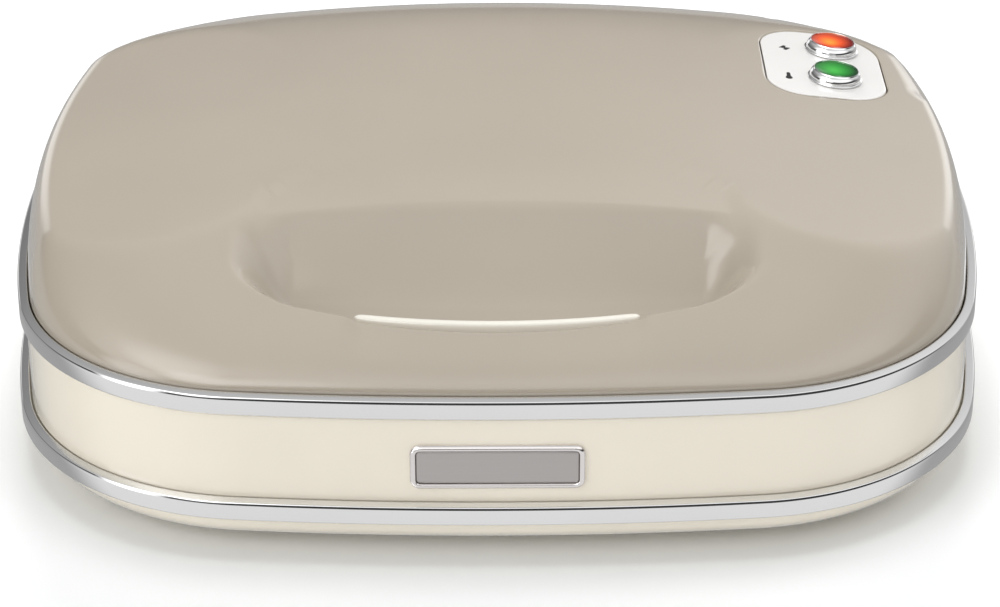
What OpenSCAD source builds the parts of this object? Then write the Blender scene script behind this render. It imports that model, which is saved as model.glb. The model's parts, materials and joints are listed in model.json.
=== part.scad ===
// Sandwich toaster with a domed lid, a rear hinge and a squeeze latch in the lid's finger scoop.
// Z is up, the front faces -Y, and the origin is on the table below the middle of the whole toaster.

/* [Casing] */
// Width over the lid's trim ring
casing_w = 250; // [236:1:264]
// Depth over the lid's trim ring
casing_d = 222; // [210:1:234]
// Plan radius of the front and rear edges
front_r = 670; // [560:10:900]
// Plan radius of the two side edges
side_r = 320; // [280:10:420]
// Plan radius of the four corners
corner_r = 63; // [56:1:68]
// Wall thickness of the plastic mouldings
wall = 2.5; // [2:0.1:3]
// How far the base ring stands outside the lid ring
ring_step = 1.25; // [0.5:0.05:2]

/* [Heights] */
// Height of the rubber feet under the pan
foot_h = 3; // [2:0.5:6]
// Depth of the bottom pan below the base ring
pan_h = 9; // [8:0.5:13]
// Height of each chrome trim ring
ring_h = 5.2; // [4.6:0.1:6.4]
// Height of the cream wall between the two rings
wall_h = 22.5; // [21.5:0.5:28]
// Rise of the lid above its trim ring
dome_h = 26.8; // [25.5:0.1:31]
// Gap between base and lid when the lid is shut
part_gap = 0.45; // [0.4:0.05:0.8]

/* [Dome] */
// How much lower the lid is at its sides than in the middle
crown_side = 9; // [6:0.5:10]
// How much lower the lid is towards its front and rear edges
crown_front = 2.5; // [1:0.25:3.5]
// Width of the long front slope
slope_front = 62; // [58:1:63]
// Width of the side shoulders
slope_side = 6; // [4:0.5:9]
// Width of the rear shoulder
slope_rear = 52; // [44:1:56]

/* [Finger scoop] */
// Width of the scoop
scoop_w = 126; // [116:1:130]
// Length of the scoop from front lip to rear rim
scoop_l = 43.3; // [40:0.5:48]
// Distance of the front lip from the lid's front edge
scoop_front = 15.2; // [14.5:0.1:17]
// Plan radius of the curved lip
lip_r = 156; // [140:2:180]
// Height of the scoop's floor above the ring at the lip
scoop_floor = 5; // [4.8:0.1:6]
// Depth of the notch in the lip over the lever
notch_h = 1.2; // [0.8:0.1:1.6]

/* [Latch] */
// Width of the squeeze lever
lever_w = 70; // [60:1:74]
// Thickness of the lever's finger plate
lever_t = 3; // [2.5:0.1:3.2]
// Width of the hook
hook_w = 18; // [14:1:22]
// Overlap of the hook under its catch
hook_bite = 1.2; // [0.9:0.1:1.4]
// Diameter of the lever's pivot pin
lever_pin_d = 3; // [2.6:0.1:3.2]

/* [Plates] */
// Distance of each plate's ends inside the lid ring's sides
plate_end = 12; // [11:0.5:14]
// Distance of each plate's front edge behind the lid ring's front
plate_front = 51; // [49:1:54]
// Distance of each plate's rear edge before the lid ring's rear
plate_rear = 35; // [33:1:38]
// Thickness of each plate
plate_t = 3; // [2.6:0.1:3.2]
// Corner radius of each plate
plate_r = 37; // [35:1:38]
// Depth of the sandwich pockets
pocket_depth = 9; // [7:0.5:9.5]
// Rim of the plate beside the outer ends of its two cells
cell_end = 11.5; // [10.5:0.5:17]
// Rim of the plate before and behind its cells
cell_rim = 12; // [11:0.5:16]
// Distance between the two cells of a plate
cell_gap = 3; // [2:0.5:5]
// Width of the diagonal ridge in each cell
ridge_w = 7; // [5:0.5:9]
// Diameter of the heating element's sheath
element_d = 6.5; // [6:0.1:7]

/* [Hinge] */
// Distance of each hinge from the middle
hinge_x = 62; // [56:1:68]
// Diameter of the hinge pins
pin_d = 4; // [3:0.1:4.4]
// Width of each hinge arm
arm_w = 12; // [10:0.5:14]
// Thickness of the hinge steel
hinge_t = 3; // [2.4:0.1:3.2]

/* [Lamps] */
// Outer diameter of the lamp bezels
bezel_d = 15; // [14:0.25:15.5]
// Diameter of the lamp lenses
lens_d = 12.2; // [11.4:0.1:12.6]
// Distance between the two lamps
lamp_pitch = 21; // [18:0.5:22]
// Height of the bezels above the panel
bezel_h = 3.4; // [2.6:0.1:4]
// Distance of the lamps inside the lid ring's side
lamp_side = 32; // [30:0.5:34]
// Distance of the rear lamp before the lid ring's rear
lamp_rear = 58.5; // [56:0.5:62]

/* [Badge] */
// Width of the blank badge
badge_w = 42; // [36:1:48]
// Height of the blank badge
badge_h = 11.8; // [9:0.2:14]

/* [Mains inlet] */
// Bore of the cord gland
gland_bore = 7; // [6:0.25:7.5]
// Length of the cord gland
gland_l = 14; // [12:0.5:16]

/* [Hidden] */

// Clearances
slip = 0.05;
gap = 0.3;
tiny = 0.01;
fine = 48;
// Length of a cut that runs right through
through = 2 * (foot_h + pan_h + ring_h + wall_h + dome_h);

// Levels, from the table up
pan_z = foot_h;
base_ring_z = pan_z + pan_h;
base_wall_z = base_ring_z + ring_h;
base_top = base_wall_z + wall_h;
lid_ring_z = base_top + part_gap;
lid_z = lid_ring_z + ring_h;
mid_z = base_top + part_gap / 2;
plate_gap = 0.3;
slab_t = 2.8;
slab_drop = 0.2;
seat_t = 3;
plate_back = plate_gap / 2 + plate_t;
seat_low = mid_z - plate_back - seat_t;
bulge_z = plate_gap / 2 + pocket_depth + plate_t;

// Insets from the lid's outline
ring_inset = 2.8;
wall_inset = 1.6;
ring_w = 4.1;

// Outline of tangent arcs
half_w = casing_w / 2;
half_d = casing_d / 2;
plate_w = casing_w - 2 * plate_end;
plate_d = casing_d - plate_front - plate_rear;
plate_y = (plate_front - plate_rear) / 2;
cell_w = plate_w / 2 - cell_end - cell_gap / 2;
cell_d = plate_d - 2 * cell_rim;
front_c = [0, front_r - half_d];
side_c = [half_w - side_r, 0];
centre_step = norm(side_c - front_c);
to_front = front_r - corner_r;
to_side = side_r - corner_r;
along = (to_front * to_front - to_side * to_side + centre_step * centre_step) / (2 * centre_step);
across = sqrt(to_front * to_front - along * along);
unit = (side_c - front_c) / centre_step;
corner_c = front_c + unit * along + [-unit[1], unit[0]] * across;
front_dir = corner_c - front_c;
side_dir = corner_c - side_c;
front_a = atan2(front_dir[1], front_dir[0]);
side_a = atan2(side_dir[1], side_dir[0]);
front_n = 8;
corner_n = 9;
side_n = 5;
quad_n = front_n + corner_n + side_n;
loop_n = 4 * quad_n;

function turn(c, r, a) = c + r * [cos(a), sin(a)];
function quad_point(m, d) =
  m <= front_n ? turn(front_c, front_r - d, -90 + (front_a + 90) * m / front_n)
  : m <= front_n + corner_n
  ? turn(corner_c, corner_r - d, front_a + (side_a - front_a) * (m - front_n) / corner_n)
  : turn(side_c, side_r - d, side_a * (quad_n - m) / side_n);
function loop_point(k, d) =
  let (q = floor(k / quad_n), m = k - q * quad_n, p = quad_point(q % 2 == 0 ? m : quad_n - m, d))
  [q == 0 || q == 1 ? p[0] : -p[0], q == 0 || q == 3 ? p[1] : -p[1]];
function outline(d) = [for (k = [0:loop_n - 1]) loop_point(k, d)];

// The farthest points at front and rear put the origin in the middle
hinge_r = 5;
bracket_t = 2;
pad_y = half_d - 1;
hinge_y = pad_y + bracket_t + hinge_r + 0.25;
hinge_z = base_top - 6.2;
mid_y = (hinge_y + hinge_r - half_d - ring_step) / 2;

// Distance inside the outline, and how much a point faces the rear, from -1 to 1
function inside(x, y) =
  let (p = [abs(x), -abs(y)], v = p - corner_c, a = atan2(v[1], v[0]))
  a > front_a && a < side_a ? corner_r - norm(v)
  : min(front_r - norm(p - front_c), side_r - norm(p - side_c));
function rearward(x, y) =
  let (
    p = [abs(x), -abs(y)], v = p - corner_c, a = atan2(v[1], v[0]),
    front = front_r - norm(p - front_c) < side_r - norm(p - side_c),
    n = a > front_a && a < side_a ? v : front ? p - front_c : p - side_c
  )
  (y > 0 ? -1 : 1) * n[1] / max(norm(n), 0.001);
function clip(v) = min(max(v, 0), 1);
function smooth(v) = let (c = clip(v)) c * c * (3 - 2 * c);
function shoulder(u, p) = pow(1 - pow(1 - clip(u), p), 1 / p);

// Height of the plain dome above the ring, at a depth t below its skin
rear_pow = 2.5;
side_pow = 2;
front_pow = 1.68;
crown_y = 20;
function dome(x, y, t = 0) =
  let (
    r = rearward(x, y), f = pow(max(-r, 0), 2), g = pow(max(r, 0), 2),
    w = slope_side + (slope_front - slope_side) * f + (slope_rear - slope_side) * g,
    p = side_pow + (front_pow - side_pow) * f + (rear_pow - side_pow) * g,
    top = dome_h - t - crown_side * pow(x / half_w, 2) - crown_front * pow((y - crown_y) / half_d, 2)
  )
  top * shoulder((inside(x, y) - ring_inset - t) / w, p);

// The scoop: v runs back from the curved lip, and the wall falls from the scoop's rounded edge inwards
lip_y = scoop_front - half_d;
scoop_round = 16;
scoop_soft = 16;
scoop_lead = 3;
lip_wall = 2.2;
function lip_v(x, y) =
  let (front = lip_y + lip_r - sqrt(lip_r * lip_r - x * x)) (y - front) * scoop_l / (lip_y + scoop_l - front);
// Depth share of the scoop, from 0 outside to 1: steep along the lip, soft at the sides and rear
function scoop_mask(x, v, t) =
  let (
    q = [abs(x) - scoop_w / 2 + scoop_round, abs(v - scoop_l / 2) - scoop_l / 2 + scoop_round],
    out = [max(q[0], 0), max(q[1], 0)],
    within = scoop_round - norm(out) - min(max(q[0], q[1]), 0),
    lip = v < scoop_l / 2 ? smooth((atan2(out[1], out[0]) - 25) / 50) : 0
  )
  smooth((within + t + scoop_lead * (1 - lip)) / (scoop_soft + (lip_wall - scoop_soft) * lip));
function lid_height(x, y, t = 0) =
  let (
    h = dome(x, y, t), v = lip_v(x, y),
    rim = dome(0, lip_y + scoop_l, t),
    low = scoop_floor - t + (rim - scoop_floor + t) * pow(clip(v / scoop_l), 1.5),
    notch = notch_h * smooth((lever_w / 2 + 1 - abs(x)) / 2) * smooth((v + 4) / 4) * (1 - smooth(v / 4))
  )
  h - scoop_mask(x, v, t) * max(h - low, 0) - notch;

// The slot at the foot of the lip that the lever stands in
lever_v = 5;
slot_front = 3.2;
slot_rear = lever_v + lever_t + 0.9;
slot_half = lever_w / 2 + 1.6;
slot_mid = (slot_front + slot_rear) / 2;
slot_r = (slot_rear - slot_front) / 2;
// Points of the slot's front half as distance along the lip and distance behind it
function slot_quad(m) =
  m <= front_n ? [(slot_half - slot_r) * m / front_n, slot_front]
  : let (a = 90 * (m - front_n) / (quad_n - front_n))
  [slot_half - slot_r + slot_r * sin(a), slot_mid - slot_r * cos(a)];
function slot_point(k) =
  let (
    q = floor(k / quad_n), m = k - q * quad_n, p = slot_quad(q % 2 == 0 ? m : quad_n - m),
    v = q == 0 || q == 3 ? p[1] : 2 * slot_mid - p[1],
    a = p[0] / (lip_r - slot_mid) * 180 / PI
  )
  [(q < 2 ? 1 : -1) * (lip_r - v) * sin(a), lip_y + lip_r - (lip_r - v) * cos(a)];

// Meshes made of loops of points, each as long as the last
function band_faces(rows, n, closed) = [
  for (j = [0:rows - (closed ? 1 : 2)])
    for (k = [0:n - 1])
      let (next = ((j + 1) % rows) * n, a = j * n + k, b = j * n + (k + 1) % n, c = next + k, d = next + (k + 1) % n)
        each [[a, c, b], [b, c, d]]
];
module loops_solid(rows, closed = true) {
  n = len(rows[0]);
  points = [for (row = rows) each row];
  caps = closed ? [] : [[for (k = [0:n - 1]) k], [for (k = [n - 1:-1:0]) (len(rows) - 1) * n + k]];
  polyhedron(points, concat(band_faces(len(rows), n, closed), caps));
}
module swept_round(profile, closed = true) {
  loops_solid([for (p = profile) [for (q = outline(p[0])) [q[0], q[1], p[1]]]], closed);
}

// A tube along a path of hand-chosen points with rounded corners; the path is never upright
function unit_of(v) = v / norm(v);
function rounded(path, r, steps = 4) = [
  for (i = [0:len(path) - 1])
    if (i == 0 || i == len(path) - 1) path[i]
    else
      let (p = path[i], a = p + unit_of(path[i - 1] - p) * r, b = p + unit_of(path[i + 1] - p) * r)
        each [for (s = [0:steps]) let (t = s / steps) a * pow(1 - t, 2) + p * 2 * t * (1 - t) + b * t * t]
];
module tube(path, r, sides = 10) {
  last = len(path) - 1;
  rows = [
    for (i = [0:last])
      let (
        d = unit_of(path[min(i + 1, last)] - path[max(i - 1, 0)]),
        s = unit_of(cross(d, [0, 0, 1])), u = cross(d, s)
      )
      [for (k = [0:sides - 1]) path[i] + r * (s * cos(360 * k / sides) + u * sin(360 * k / sides))]
  ];
  loops_solid(rows, closed = false);
}

// Small shared shapes
module placed() {
  translate([0, -mid_y, 0]) children();
}
module rounded_rect(w, d, r) {
  square([w - 2 * r, d], center = true);
  square([w, d - 2 * r], center = true);
  for (x = [-1, 1], y = [-1, 1])
    translate([x * (w / 2 - r), y * (d / 2 - r)]) circle(r, $fn = fine);
}
module both_sides() {
  children();
  mirror([1, 0, 0]) children();
}
module mirrored_up() {
  translate([0, 0, 2 * mid_z]) mirror([0, 0, 1]) children();
}
module screw(length, shank_r, head_r, head_h) {
  cylinder(h = length, r = shank_r, $fn = fine);
  difference() {
    translate([0, 0, -head_h]) cylinder(h = head_h, r = head_r, $fn = fine);
    for (a = [0, 90])
      rotate([0, 0, a]) translate([0, 0, -head_h]) cube([head_r * 1.3, 0.7, 1.2], center = true);
  }
}

// Chrome trim rings: upright face, rounded shoulder, flat seat for the moulding above
shoulder_h = 1.2;
edge_round = 0.5;
ring_steps = 5;
function ring_profile(z) = concat(
  [[edge_round, z]],
  [[ring_w, z]],
  [[ring_w, z + ring_h]],
  [[ring_inset - 0.1, z + ring_h]],
  [for (i = [0:ring_steps]) let (a = 90 * i / ring_steps)
    [(ring_inset - 0.4) * (1 - sin(a)), z + ring_h - shoulder_h + shoulder_h * cos(a)]],
  [[0, z + edge_round]]
);
module ring_shape(z, step) {
  profile = ring_profile(z);
  swept_round([for (p = profile) [p[0] - step, p[1]]]);
}

// Bottom pan
pan_flat = 14;
screw_x = half_w - 32;
screw_y = half_d - 32;
foot_x = half_w - 40;
foot_y = half_d - 42;
post_r = 5;
foot_r = 8;
foot_bevel = 0.8;
rim_in_pan = wall_inset + wall + gap;
floor_z = pan_z + wall;
pan_rim_h = 3;
post_top = base_wall_z + pan_rim_h;
foot_stem_r = 3;
screw_r = 1.6;
head_r = 3;
head_h = 2;
thread_r = 1.25;
well_deep = head_h + 0.5;
well_r = head_r + 0.4;
catch_y = lip_y + lever_v - 3.4;
catch_foot_y = catch_y + 6;
catch_foot_z = floor_z + 1.5;
catch_post_r = 4.5;
module at_corners(x, y) {
  for (sx = [-1, 1], sy = [-1, 1])
    translate([sx * x, sy * y, 0]) children();
}
module base_pan() {
  color("ivory") placed() difference() {
    union() {
      swept_round([
        [pan_flat, pan_z], [8.4, pan_z + pan_h * 0.11], [4.9, pan_z + pan_h * 0.34],
        [2.9, pan_z + pan_h * 0.64], [1.9, base_ring_z], [rim_in_pan, base_ring_z], [rim_in_pan, post_top],
        [rim_in_pan + 2, post_top], [rim_in_pan + 2, base_ring_z - 1], [rim_in_pan + 3.2, floor_z + 2.8],
        [rim_in_pan + 6, floor_z + 0.7], [rim_in_pan + 11, floor_z]
      ], closed = false);
      at_corners(screw_x, screw_y) translate([0, 0, pan_z + 1])
        cylinder(h = post_top - pan_z - 1, r = post_r, $fn = fine);
      translate([0, catch_foot_y, pan_z + 1])
        cylinder(h = catch_foot_z - pan_z - 1, r = catch_post_r, $fn = fine);
    }
    at_corners(screw_x, screw_y) {
      translate([0, 0, pan_z - 1]) cylinder(h = through, r = screw_r + slip, $fn = fine);
      translate([0, 0, pan_z - 1]) cylinder(h = well_deep + 1, r = well_r, $fn = fine);
    }
    at_corners(foot_x, foot_y)
      translate([0, 0, pan_z - 1]) cylinder(h = wall + 3, r = foot_stem_r + slip, $fn = fine);
    translate([0, catch_foot_y, floor_z - 0.5]) cylinder(h = through, r = thread_r, $fn = fine);
  }
}
module feet() {
  color("dimgray") placed() at_corners(foot_x, foot_y) {
    rotate_extrude($fn = fine)
      polygon([
        [0, 0], [foot_r - foot_bevel, 0], [foot_r, foot_bevel], [foot_r, foot_h], [foot_stem_r, foot_h],
        [foot_stem_r, foot_h + wall], [0, foot_h + wall]
      ]);
  }
}
module base_screws() {
  color("silver") placed() at_corners(screw_x, screw_y)
    translate([0, 0, pan_z + well_deep]) screw(seat_low + 3.5 - pan_z - well_deep, screw_r, head_r, head_h);
}
module base_trim_ring() {
  color("lightgray") placed() ring_shape(base_ring_z, ring_step);
}

// Cream wall of the base, with an inner ledge, screw bosses, hinge pads and the gland's hole
ledge_w = 1.4;
ledge_h = 2.5;
ledge_top = base_top - slab_drop - slab_t;
rib_a = atan2(screw_y + corner_c[1], screw_x - corner_c[0]);
rib_l = corner_r - wall_inset - wall / 2 - norm([screw_x - corner_c[0], screw_y + corner_c[1]]);
badge_z = base_wall_z + 3.7 + badge_h / 2;
badge_deep = 0.8;
badge_t = 2.1;
badge_y = -half_d + wall_inset + 0.4;
gland_wall = 2.2;
gland_r = gland_bore / 2 + gland_wall;
gland_flange = 2.5;
gland_z = base_wall_z + 10;
bracket_w = arm_w + 2 * hinge_t + 2 * gap;
bracket_low = hinge_z - 9;
bracket_top = base_top - 0.8;
bracket_screw_z = hinge_z - 6.5;
bracket_screw_x = arm_w / 2 - 2.4;
pad_deep = 10;
pad_margin = 1;
module ring_plate(d_out, d_in, z, h) {
  translate([0, 0, z]) linear_extrude(h) difference() {
    polygon(outline(d_out));
    polygon(outline(d_in));
  }
}
module badge_blank(w, h, t) {
  rotate([90, 0, 0]) linear_extrude(t) rounded_rect(w, h, 2.6);
}
module base_shell() {
  color("ivory") placed() difference() {
    union() {
      ring_plate(wall_inset, wall_inset + wall, base_wall_z, wall_h);
      ring_plate(wall_inset + wall - tiny, wall_inset + wall + ledge_w, ledge_top - ledge_h, ledge_h);
      at_corners(screw_x, screw_y)
        translate([0, 0, post_top]) cylinder(h = seat_low - post_top, r = post_r, $fn = fine);
      both_sides() for (sy = [-1, 1])
        translate([screw_x, sy * screw_y, post_top]) rotate([0, 0, sy * rib_a]) translate([0, -wall / 2, 0])
          cube([rib_l, wall, seat_low - post_top]);
      both_sides() difference() {
        translate([hinge_x - bracket_w / 2 - pad_margin, half_d - pad_deep, bracket_low - pad_margin])
          cube([
            bracket_w + 2 * pad_margin, pad_y - half_d + pad_deep, bracket_top - bracket_low + pad_margin
          ]);
        linear_extrude(through) polygon(outline(wall_inset + wall - tiny));
      }
    }
    at_corners(screw_x, screw_y)
      translate([0, 0, post_top - 1]) cylinder(h = through, r = screw_r + slip, $fn = fine);
    translate([0, badge_y + badge_deep, badge_z]) badge_blank(badge_w + 0.2, badge_h + 0.2, 10);
    translate([0, half_d - 12, gland_z]) rotate([-90, 0, 0]) cylinder(h = 20, r = gland_r + slip, $fn = fine);
    for (sx = [-1, 1], s = [-1, 1])
      translate([sx * hinge_x + s * bracket_screw_x, pad_y - pad_deep, bracket_screw_z]) rotate([-90, 0, 0])
        cylinder(h = pad_deep + 2, r = thread_r, $fn = fine);
  }
}
module badge() {
  color("darkgray") placed() translate([0, badge_y + badge_deep - 0.05, badge_z]) difference() {
    badge_blank(badge_w, badge_h, badge_t);
    translate([0, -badge_t + 0.6, 0]) badge_blank(badge_w - 2.4, badge_h - 2.4, 5);
  }
}

// Frames round the plates, and the plates
seat_w = 5;
cell_x = (cell_w + cell_gap) / 2;
cell_wall = plate_t;
open_w = 2 * (cell_x + cell_w / 2 + cell_wall + 0.6);
open_d = cell_d + 2 * cell_wall + 1.2;
plate_screw_x = cell_x + 0.5;
plate_screw_y = plate_d / 2 - 2.6;
hook_slot_front = lip_y + 1.3;
hook_slot_l = 12.3;
module at_plate_screws() {
  for (sx = [-1, 1], sy = [-1, 1])
    translate([sx * plate_screw_x, plate_y + sy * plate_screw_y, 0]) children();
}
module frame_shape(inset, post_at) {
  difference() {
    union() {
      translate([0, 0, base_top - slab_drop - slab_t]) linear_extrude(slab_t) polygon(outline(inset));
      at_corners(post_at[0], post_at[1]) translate([0, 0, seat_low])
        cylinder(h = base_top - slab_drop - 1 - seat_low, r = post_r - 0.6, $fn = fine);
      translate([0, plate_y, seat_low]) linear_extrude(seat_t + tiny)
        rounded_rect(plate_w + 2 * gap + seat_w, plate_d + 2 * gap + seat_w, plate_r + gap + seat_w / 2);
    }
    translate([0, plate_y, mid_z - plate_back]) linear_extrude(10)
      rounded_rect(plate_w + 2 * gap, plate_d + 2 * gap, plate_r + gap);
    translate([0, plate_y, 0]) linear_extrude(through) rounded_rect(open_w, open_d, 10);
    at_plate_screws() cylinder(h = through, r = screw_r + slip, $fn = fine);
  }
}
module base_frame() {
  color("ivory") placed() difference() {
    frame_shape(wall_inset + wall + gap, [screw_x, screw_y]);
    at_corners(screw_x, screw_y) cylinder(h = seat_low + 4, r = screw_r + slip, $fn = fine);
    translate([-hook_w / 2 - 1, hook_slot_front, 0]) cube([hook_w + 2, hook_slot_l, through]);
  }
}
pocket_round = 9;
pocket_taper = 4;
module cone_at(p, deep, grow) {
  translate([p[0], p[1], -deep])
    cylinder(h = deep, r1 = pocket_round - pocket_taper + grow, r2 = pocket_round + grow, $fn = 32);
}
module cell_hull(points, deep, grow) {
  hull() {
    for (p = points) cone_at(p, deep, grow);
  }
}
cell_hw = cell_w / 2 - pocket_round;
cell_hd = cell_d / 2 - pocket_round;
ridge_shift = ridge_w / 2 + pocket_round * (sqrt(2) - 1) / sqrt(2) + 1;
// Corners of the near and far triangle of a cell, on either side of its diagonal
function triangle(far) = [
  [-far * cell_hw, far * cell_hd],
  [-far * cell_hw, -far * cell_hd + 2.2 * ridge_shift],
  [far * cell_hw - 2.2 * ridge_shift, far * cell_hd]
];
module at_cells() {
  translate([-cell_x, plate_y, 0]) children();
  mirror([1, 0, 0]) translate([-cell_x, plate_y, 0]) children();
}
module plate_shape() {
  difference() {
    union() {
      translate([0, plate_y, mid_z - plate_back]) linear_extrude(plate_t)
        rounded_rect(plate_w, plate_d, plate_r);
      translate([0, 0, mid_z - plate_back + tiny]) at_cells()
        cell_hull([for (x = [-1, 1], y = [-1, 1]) [x * cell_hw, y * cell_hd]], pocket_depth, cell_wall);
    }
    translate([0, 0, mid_z - plate_gap / 2 + tiny]) at_cells() {
      cell_hull(triangle(1), pocket_depth + tiny, 0);
      cell_hull(triangle(-1), pocket_depth + tiny, 0);
    }
    at_plate_screws() translate([0, 0, mid_z - plate_back - 1]) cylinder(h = 3, r = screw_r, $fn = fine);
  }
}
module lower_plate() {
  color("dimgray") placed() plate_shape();
}
module plate_screw_set() {
  at_plate_screws() translate([0, 0, mid_z - plate_back - seat_t])
    screw(seat_t + 1.8, screw_r - slip, head_r, head_h);
}
module lower_plate_screws() {
  color("silver") placed() plate_screw_set();
}

// Heating parts under the lower plate; the lid holds the same set upside down
element_z = mid_z - bulge_z - 0.1 - element_d / 2;
element_x = 75;
element_y = 38;
element_end_x = 10;
element_bend = 9;
element_tail = plate_y + element_y + 22;
terminal_l = 10;
reflector_z = element_z - element_d / 2 - 3.2;
reflector_w = 160;
reflector_d = 106;
sheet = 0.8;
reflector_rim = 2.8;
module element_shape() {
  tube(rounded([
    [-element_end_x, element_tail, element_z], [-element_end_x, plate_y + element_y, element_z],
    [-element_x, plate_y + element_y, element_z], [-element_x, plate_y - element_y, element_z],
    [element_x, plate_y - element_y, element_z], [element_x, plate_y + element_y, element_z],
    [element_end_x, plate_y + element_y, element_z], [element_end_x, element_tail, element_z]
  ], element_bend), element_d / 2, 12);
  for (x = [-element_end_x, element_end_x])
    translate([x, element_tail - tiny, element_z]) rotate([-90, 0, 0]) {
      cylinder(h = 4, r = element_d / 2 + 0.8, $fn = fine);
      cylinder(h = terminal_l, r = 1.4, $fn = fine);
    }
}
module reflector_shape() {
  translate([0, plate_y, reflector_z]) difference() {
    linear_extrude(reflector_rim) rounded_rect(reflector_w, reflector_d, 6);
    translate([0, 0, sheet]) linear_extrude(4)
      rounded_rect(reflector_w - 2 * sheet, reflector_d - 2 * sheet, 5.2);
  }
  for (x = [-1, 1])
    translate([x * 40, plate_y, reflector_z + sheet - tiny])
      cylinder(h = mid_z - bulge_z - reflector_z - sheet, r = 2.4, $fn = fine);
}
thermostat_x = -22;
thermostat_r = 8;
thermostat_cap = 2.6;
module thermostat_shape() {
  top = mid_z - bulge_z;
  low = reflector_z + sheet;
  translate([thermostat_x, plate_y, low])
    cylinder(h = top - low - thermostat_cap, r = thermostat_r - 1, $fn = fine);
  translate([thermostat_x, plate_y, top - thermostat_cap - tiny])
    cylinder(h = thermostat_cap, r = thermostat_r, $fn = fine);
  for (s = [-1, 1])
    translate([thermostat_x + s * (thermostat_r + 0.5), plate_y, low + 1.4])
      cube([6, 5, sheet], center = true);
}
module lower_element() {
  color("slategray") placed() element_shape();
}
module lower_reflector() {
  color("gainsboro") placed() reflector_shape();
}
module lower_thermostat() {
  color("saddlebrown") placed() thermostat_shape();
}
module thermal_fuse() {
  color("gold") placed() translate([22, plate_y, element_z + element_d / 2 - 2]) rotate([0, 90, 0]) {
    translate([0, 0, -6]) cylinder(h = 12, r = 2, $fn = fine);
    translate([0, 0, -13]) cylinder(h = 26, r = 0.5, $fn = fine);
  }
}

// Mains inlet, terminal block and the wires between them
block_w = 32;
block_d = 11;
block_h = 10;
block_pitch = 10;
block_y = half_d - 29;
module terminal_block() {
  color("white") placed() translate([-block_w / 2, block_y - block_d / 2, floor_z]) difference() {
    union() {
      cube([block_w, block_d, block_h - 3]);
      for (i = [0:2])
        translate([1.5 + i * block_pitch, 1.5, 0]) cube([block_pitch - 1, block_d - 3, block_h]);
    }
    for (i = [0:2])
      translate([6 + i * block_pitch, block_d / 2, block_h - 4]) cylinder(h = block_h, r = 2, $fn = fine);
  }
}
wire_r = 1.2;
wire_bend = 2.5;
wire_z = floor_z + 5;
wire_end = element_tail + terminal_l;
module base_wiring() {
  color("tomato") placed() {
    front = block_y - block_d / 2;
    tube(rounded([
      [-element_end_x, front, wire_z], [-element_end_x, front - 6, wire_z], [-24, front - 9, wire_z + 4],
      [-24, element_tail + 16, element_z - 4], [-element_end_x, wire_end + 3, element_z],
      [-element_end_x, wire_end, element_z]
    ], wire_bend), wire_r, 8);
    tube(rounded([
      [element_end_x, front, wire_z], [element_end_x, front - 6, wire_z], [24, front - 9, wire_z + 4],
      [24, element_tail + 16, element_z - 4], [element_end_x, wire_end + 3, element_z],
      [element_end_x, wire_end, element_z]
    ], wire_bend), wire_r, 8);
    tube(rounded([
      [0, block_y + block_d / 2, wire_z], [0, block_y + block_d / 2 + 5, wire_z],
      [30, block_y + block_d / 2 + 6, wire_z + 6], [hinge_x - 10, half_d - 14, hinge_z - 8],
      [hinge_x - 2, half_d - 12, hinge_z - 8]
    ], wire_bend), wire_r, 8);
  }
}
module cord_gland() {
  front = half_d - wall_inset + gland_flange + 0.1;
  color("dimgray") placed() translate([0, front, gland_z]) rotate([90, 0, 0]) difference() {
    union() {
      cylinder(h = gland_flange, r = gland_r + gland_wall, $fn = fine);
      cylinder(h = gland_l, r = gland_r, $fn = fine);
      translate([0, 0, gland_flange + wall + gap]) cylinder(h = 2, r = gland_r + 0.9, $fn = fine);
    }
    translate([0, 0, -1]) cylinder(h = gland_l + 2, r = gland_bore / 2, $fn = fine);
  }
}

// Squeeze lever in the lid, and the sprung catch that its hook snaps behind
pivot_y = lip_y + lever_v + 3.3;
pivot_z = lid_z - 0.35;
hub_r = lever_pin_d / 2 + 0.8;
lever_top = lid_z + 9.8;
nose_top = base_top - 5.3;
nose_h = 2.8;
hook_t = 3;
hook_front = pivot_y - hook_t / 2;
nose_front = hook_front - 2;
catch_edge = nose_front + hook_bite;
catch_t = 0.8;
spring_gap_w = 5;
module lever_arc(v_front, v_rear, w, z, h) {
  intersection() {
    translate([0, lip_y + lip_r, z]) difference() {
      cylinder(h = h, r = lip_r - v_front, $fn = 360);
      translate([0, 0, -1]) cylinder(h = h + 2, r = lip_r - v_rear, $fn = 360);
    }
    translate([-w / 2, lip_y - 20, z]) cube([w, 60, h]);
  }
}
module latch_lever() {
  color("ivory") placed() difference() {
    union() {
      lever_arc(lever_v, lever_v + lever_t, lever_w, pivot_z, lever_top - pivot_z - 0.6);
      lever_arc(lever_v + 0.6, lever_v + lever_t - 0.6, lever_w - 1.2, pivot_z, lever_top - pivot_z);
      translate([-lever_w / 2, pivot_y, pivot_z]) rotate([0, 90, 0])
        cylinder(h = lever_w, r = hub_r, $fn = fine);
      translate([-hook_w / 2, hook_front, nose_top - nose_h])
        cube([hook_w, hook_t, pivot_z - nose_top + nose_h]);
      translate([hook_w / 2, 0, 0]) rotate([0, -90, 0]) linear_extrude(hook_w) polygon([
        [nose_top - nose_h, hook_front + tiny], [nose_top, hook_front + tiny], [nose_top, nose_front],
        [nose_top - 0.8, nose_front]
      ]);
    }
    translate([-lever_w / 2 - 1, pivot_y, pivot_z]) rotate([0, 90, 0])
      cylinder(h = lever_w + 2, r = lever_pin_d / 2 + slip, $fn = fine);
    translate([-hook_w / 2 - spring_gap_w - 2, pivot_y - 6, pivot_z - 6]) cube([spring_gap_w, 12, 12.5]);
  }
}
post_w = 4;
post_x = lever_w / 2 + gap;
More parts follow.
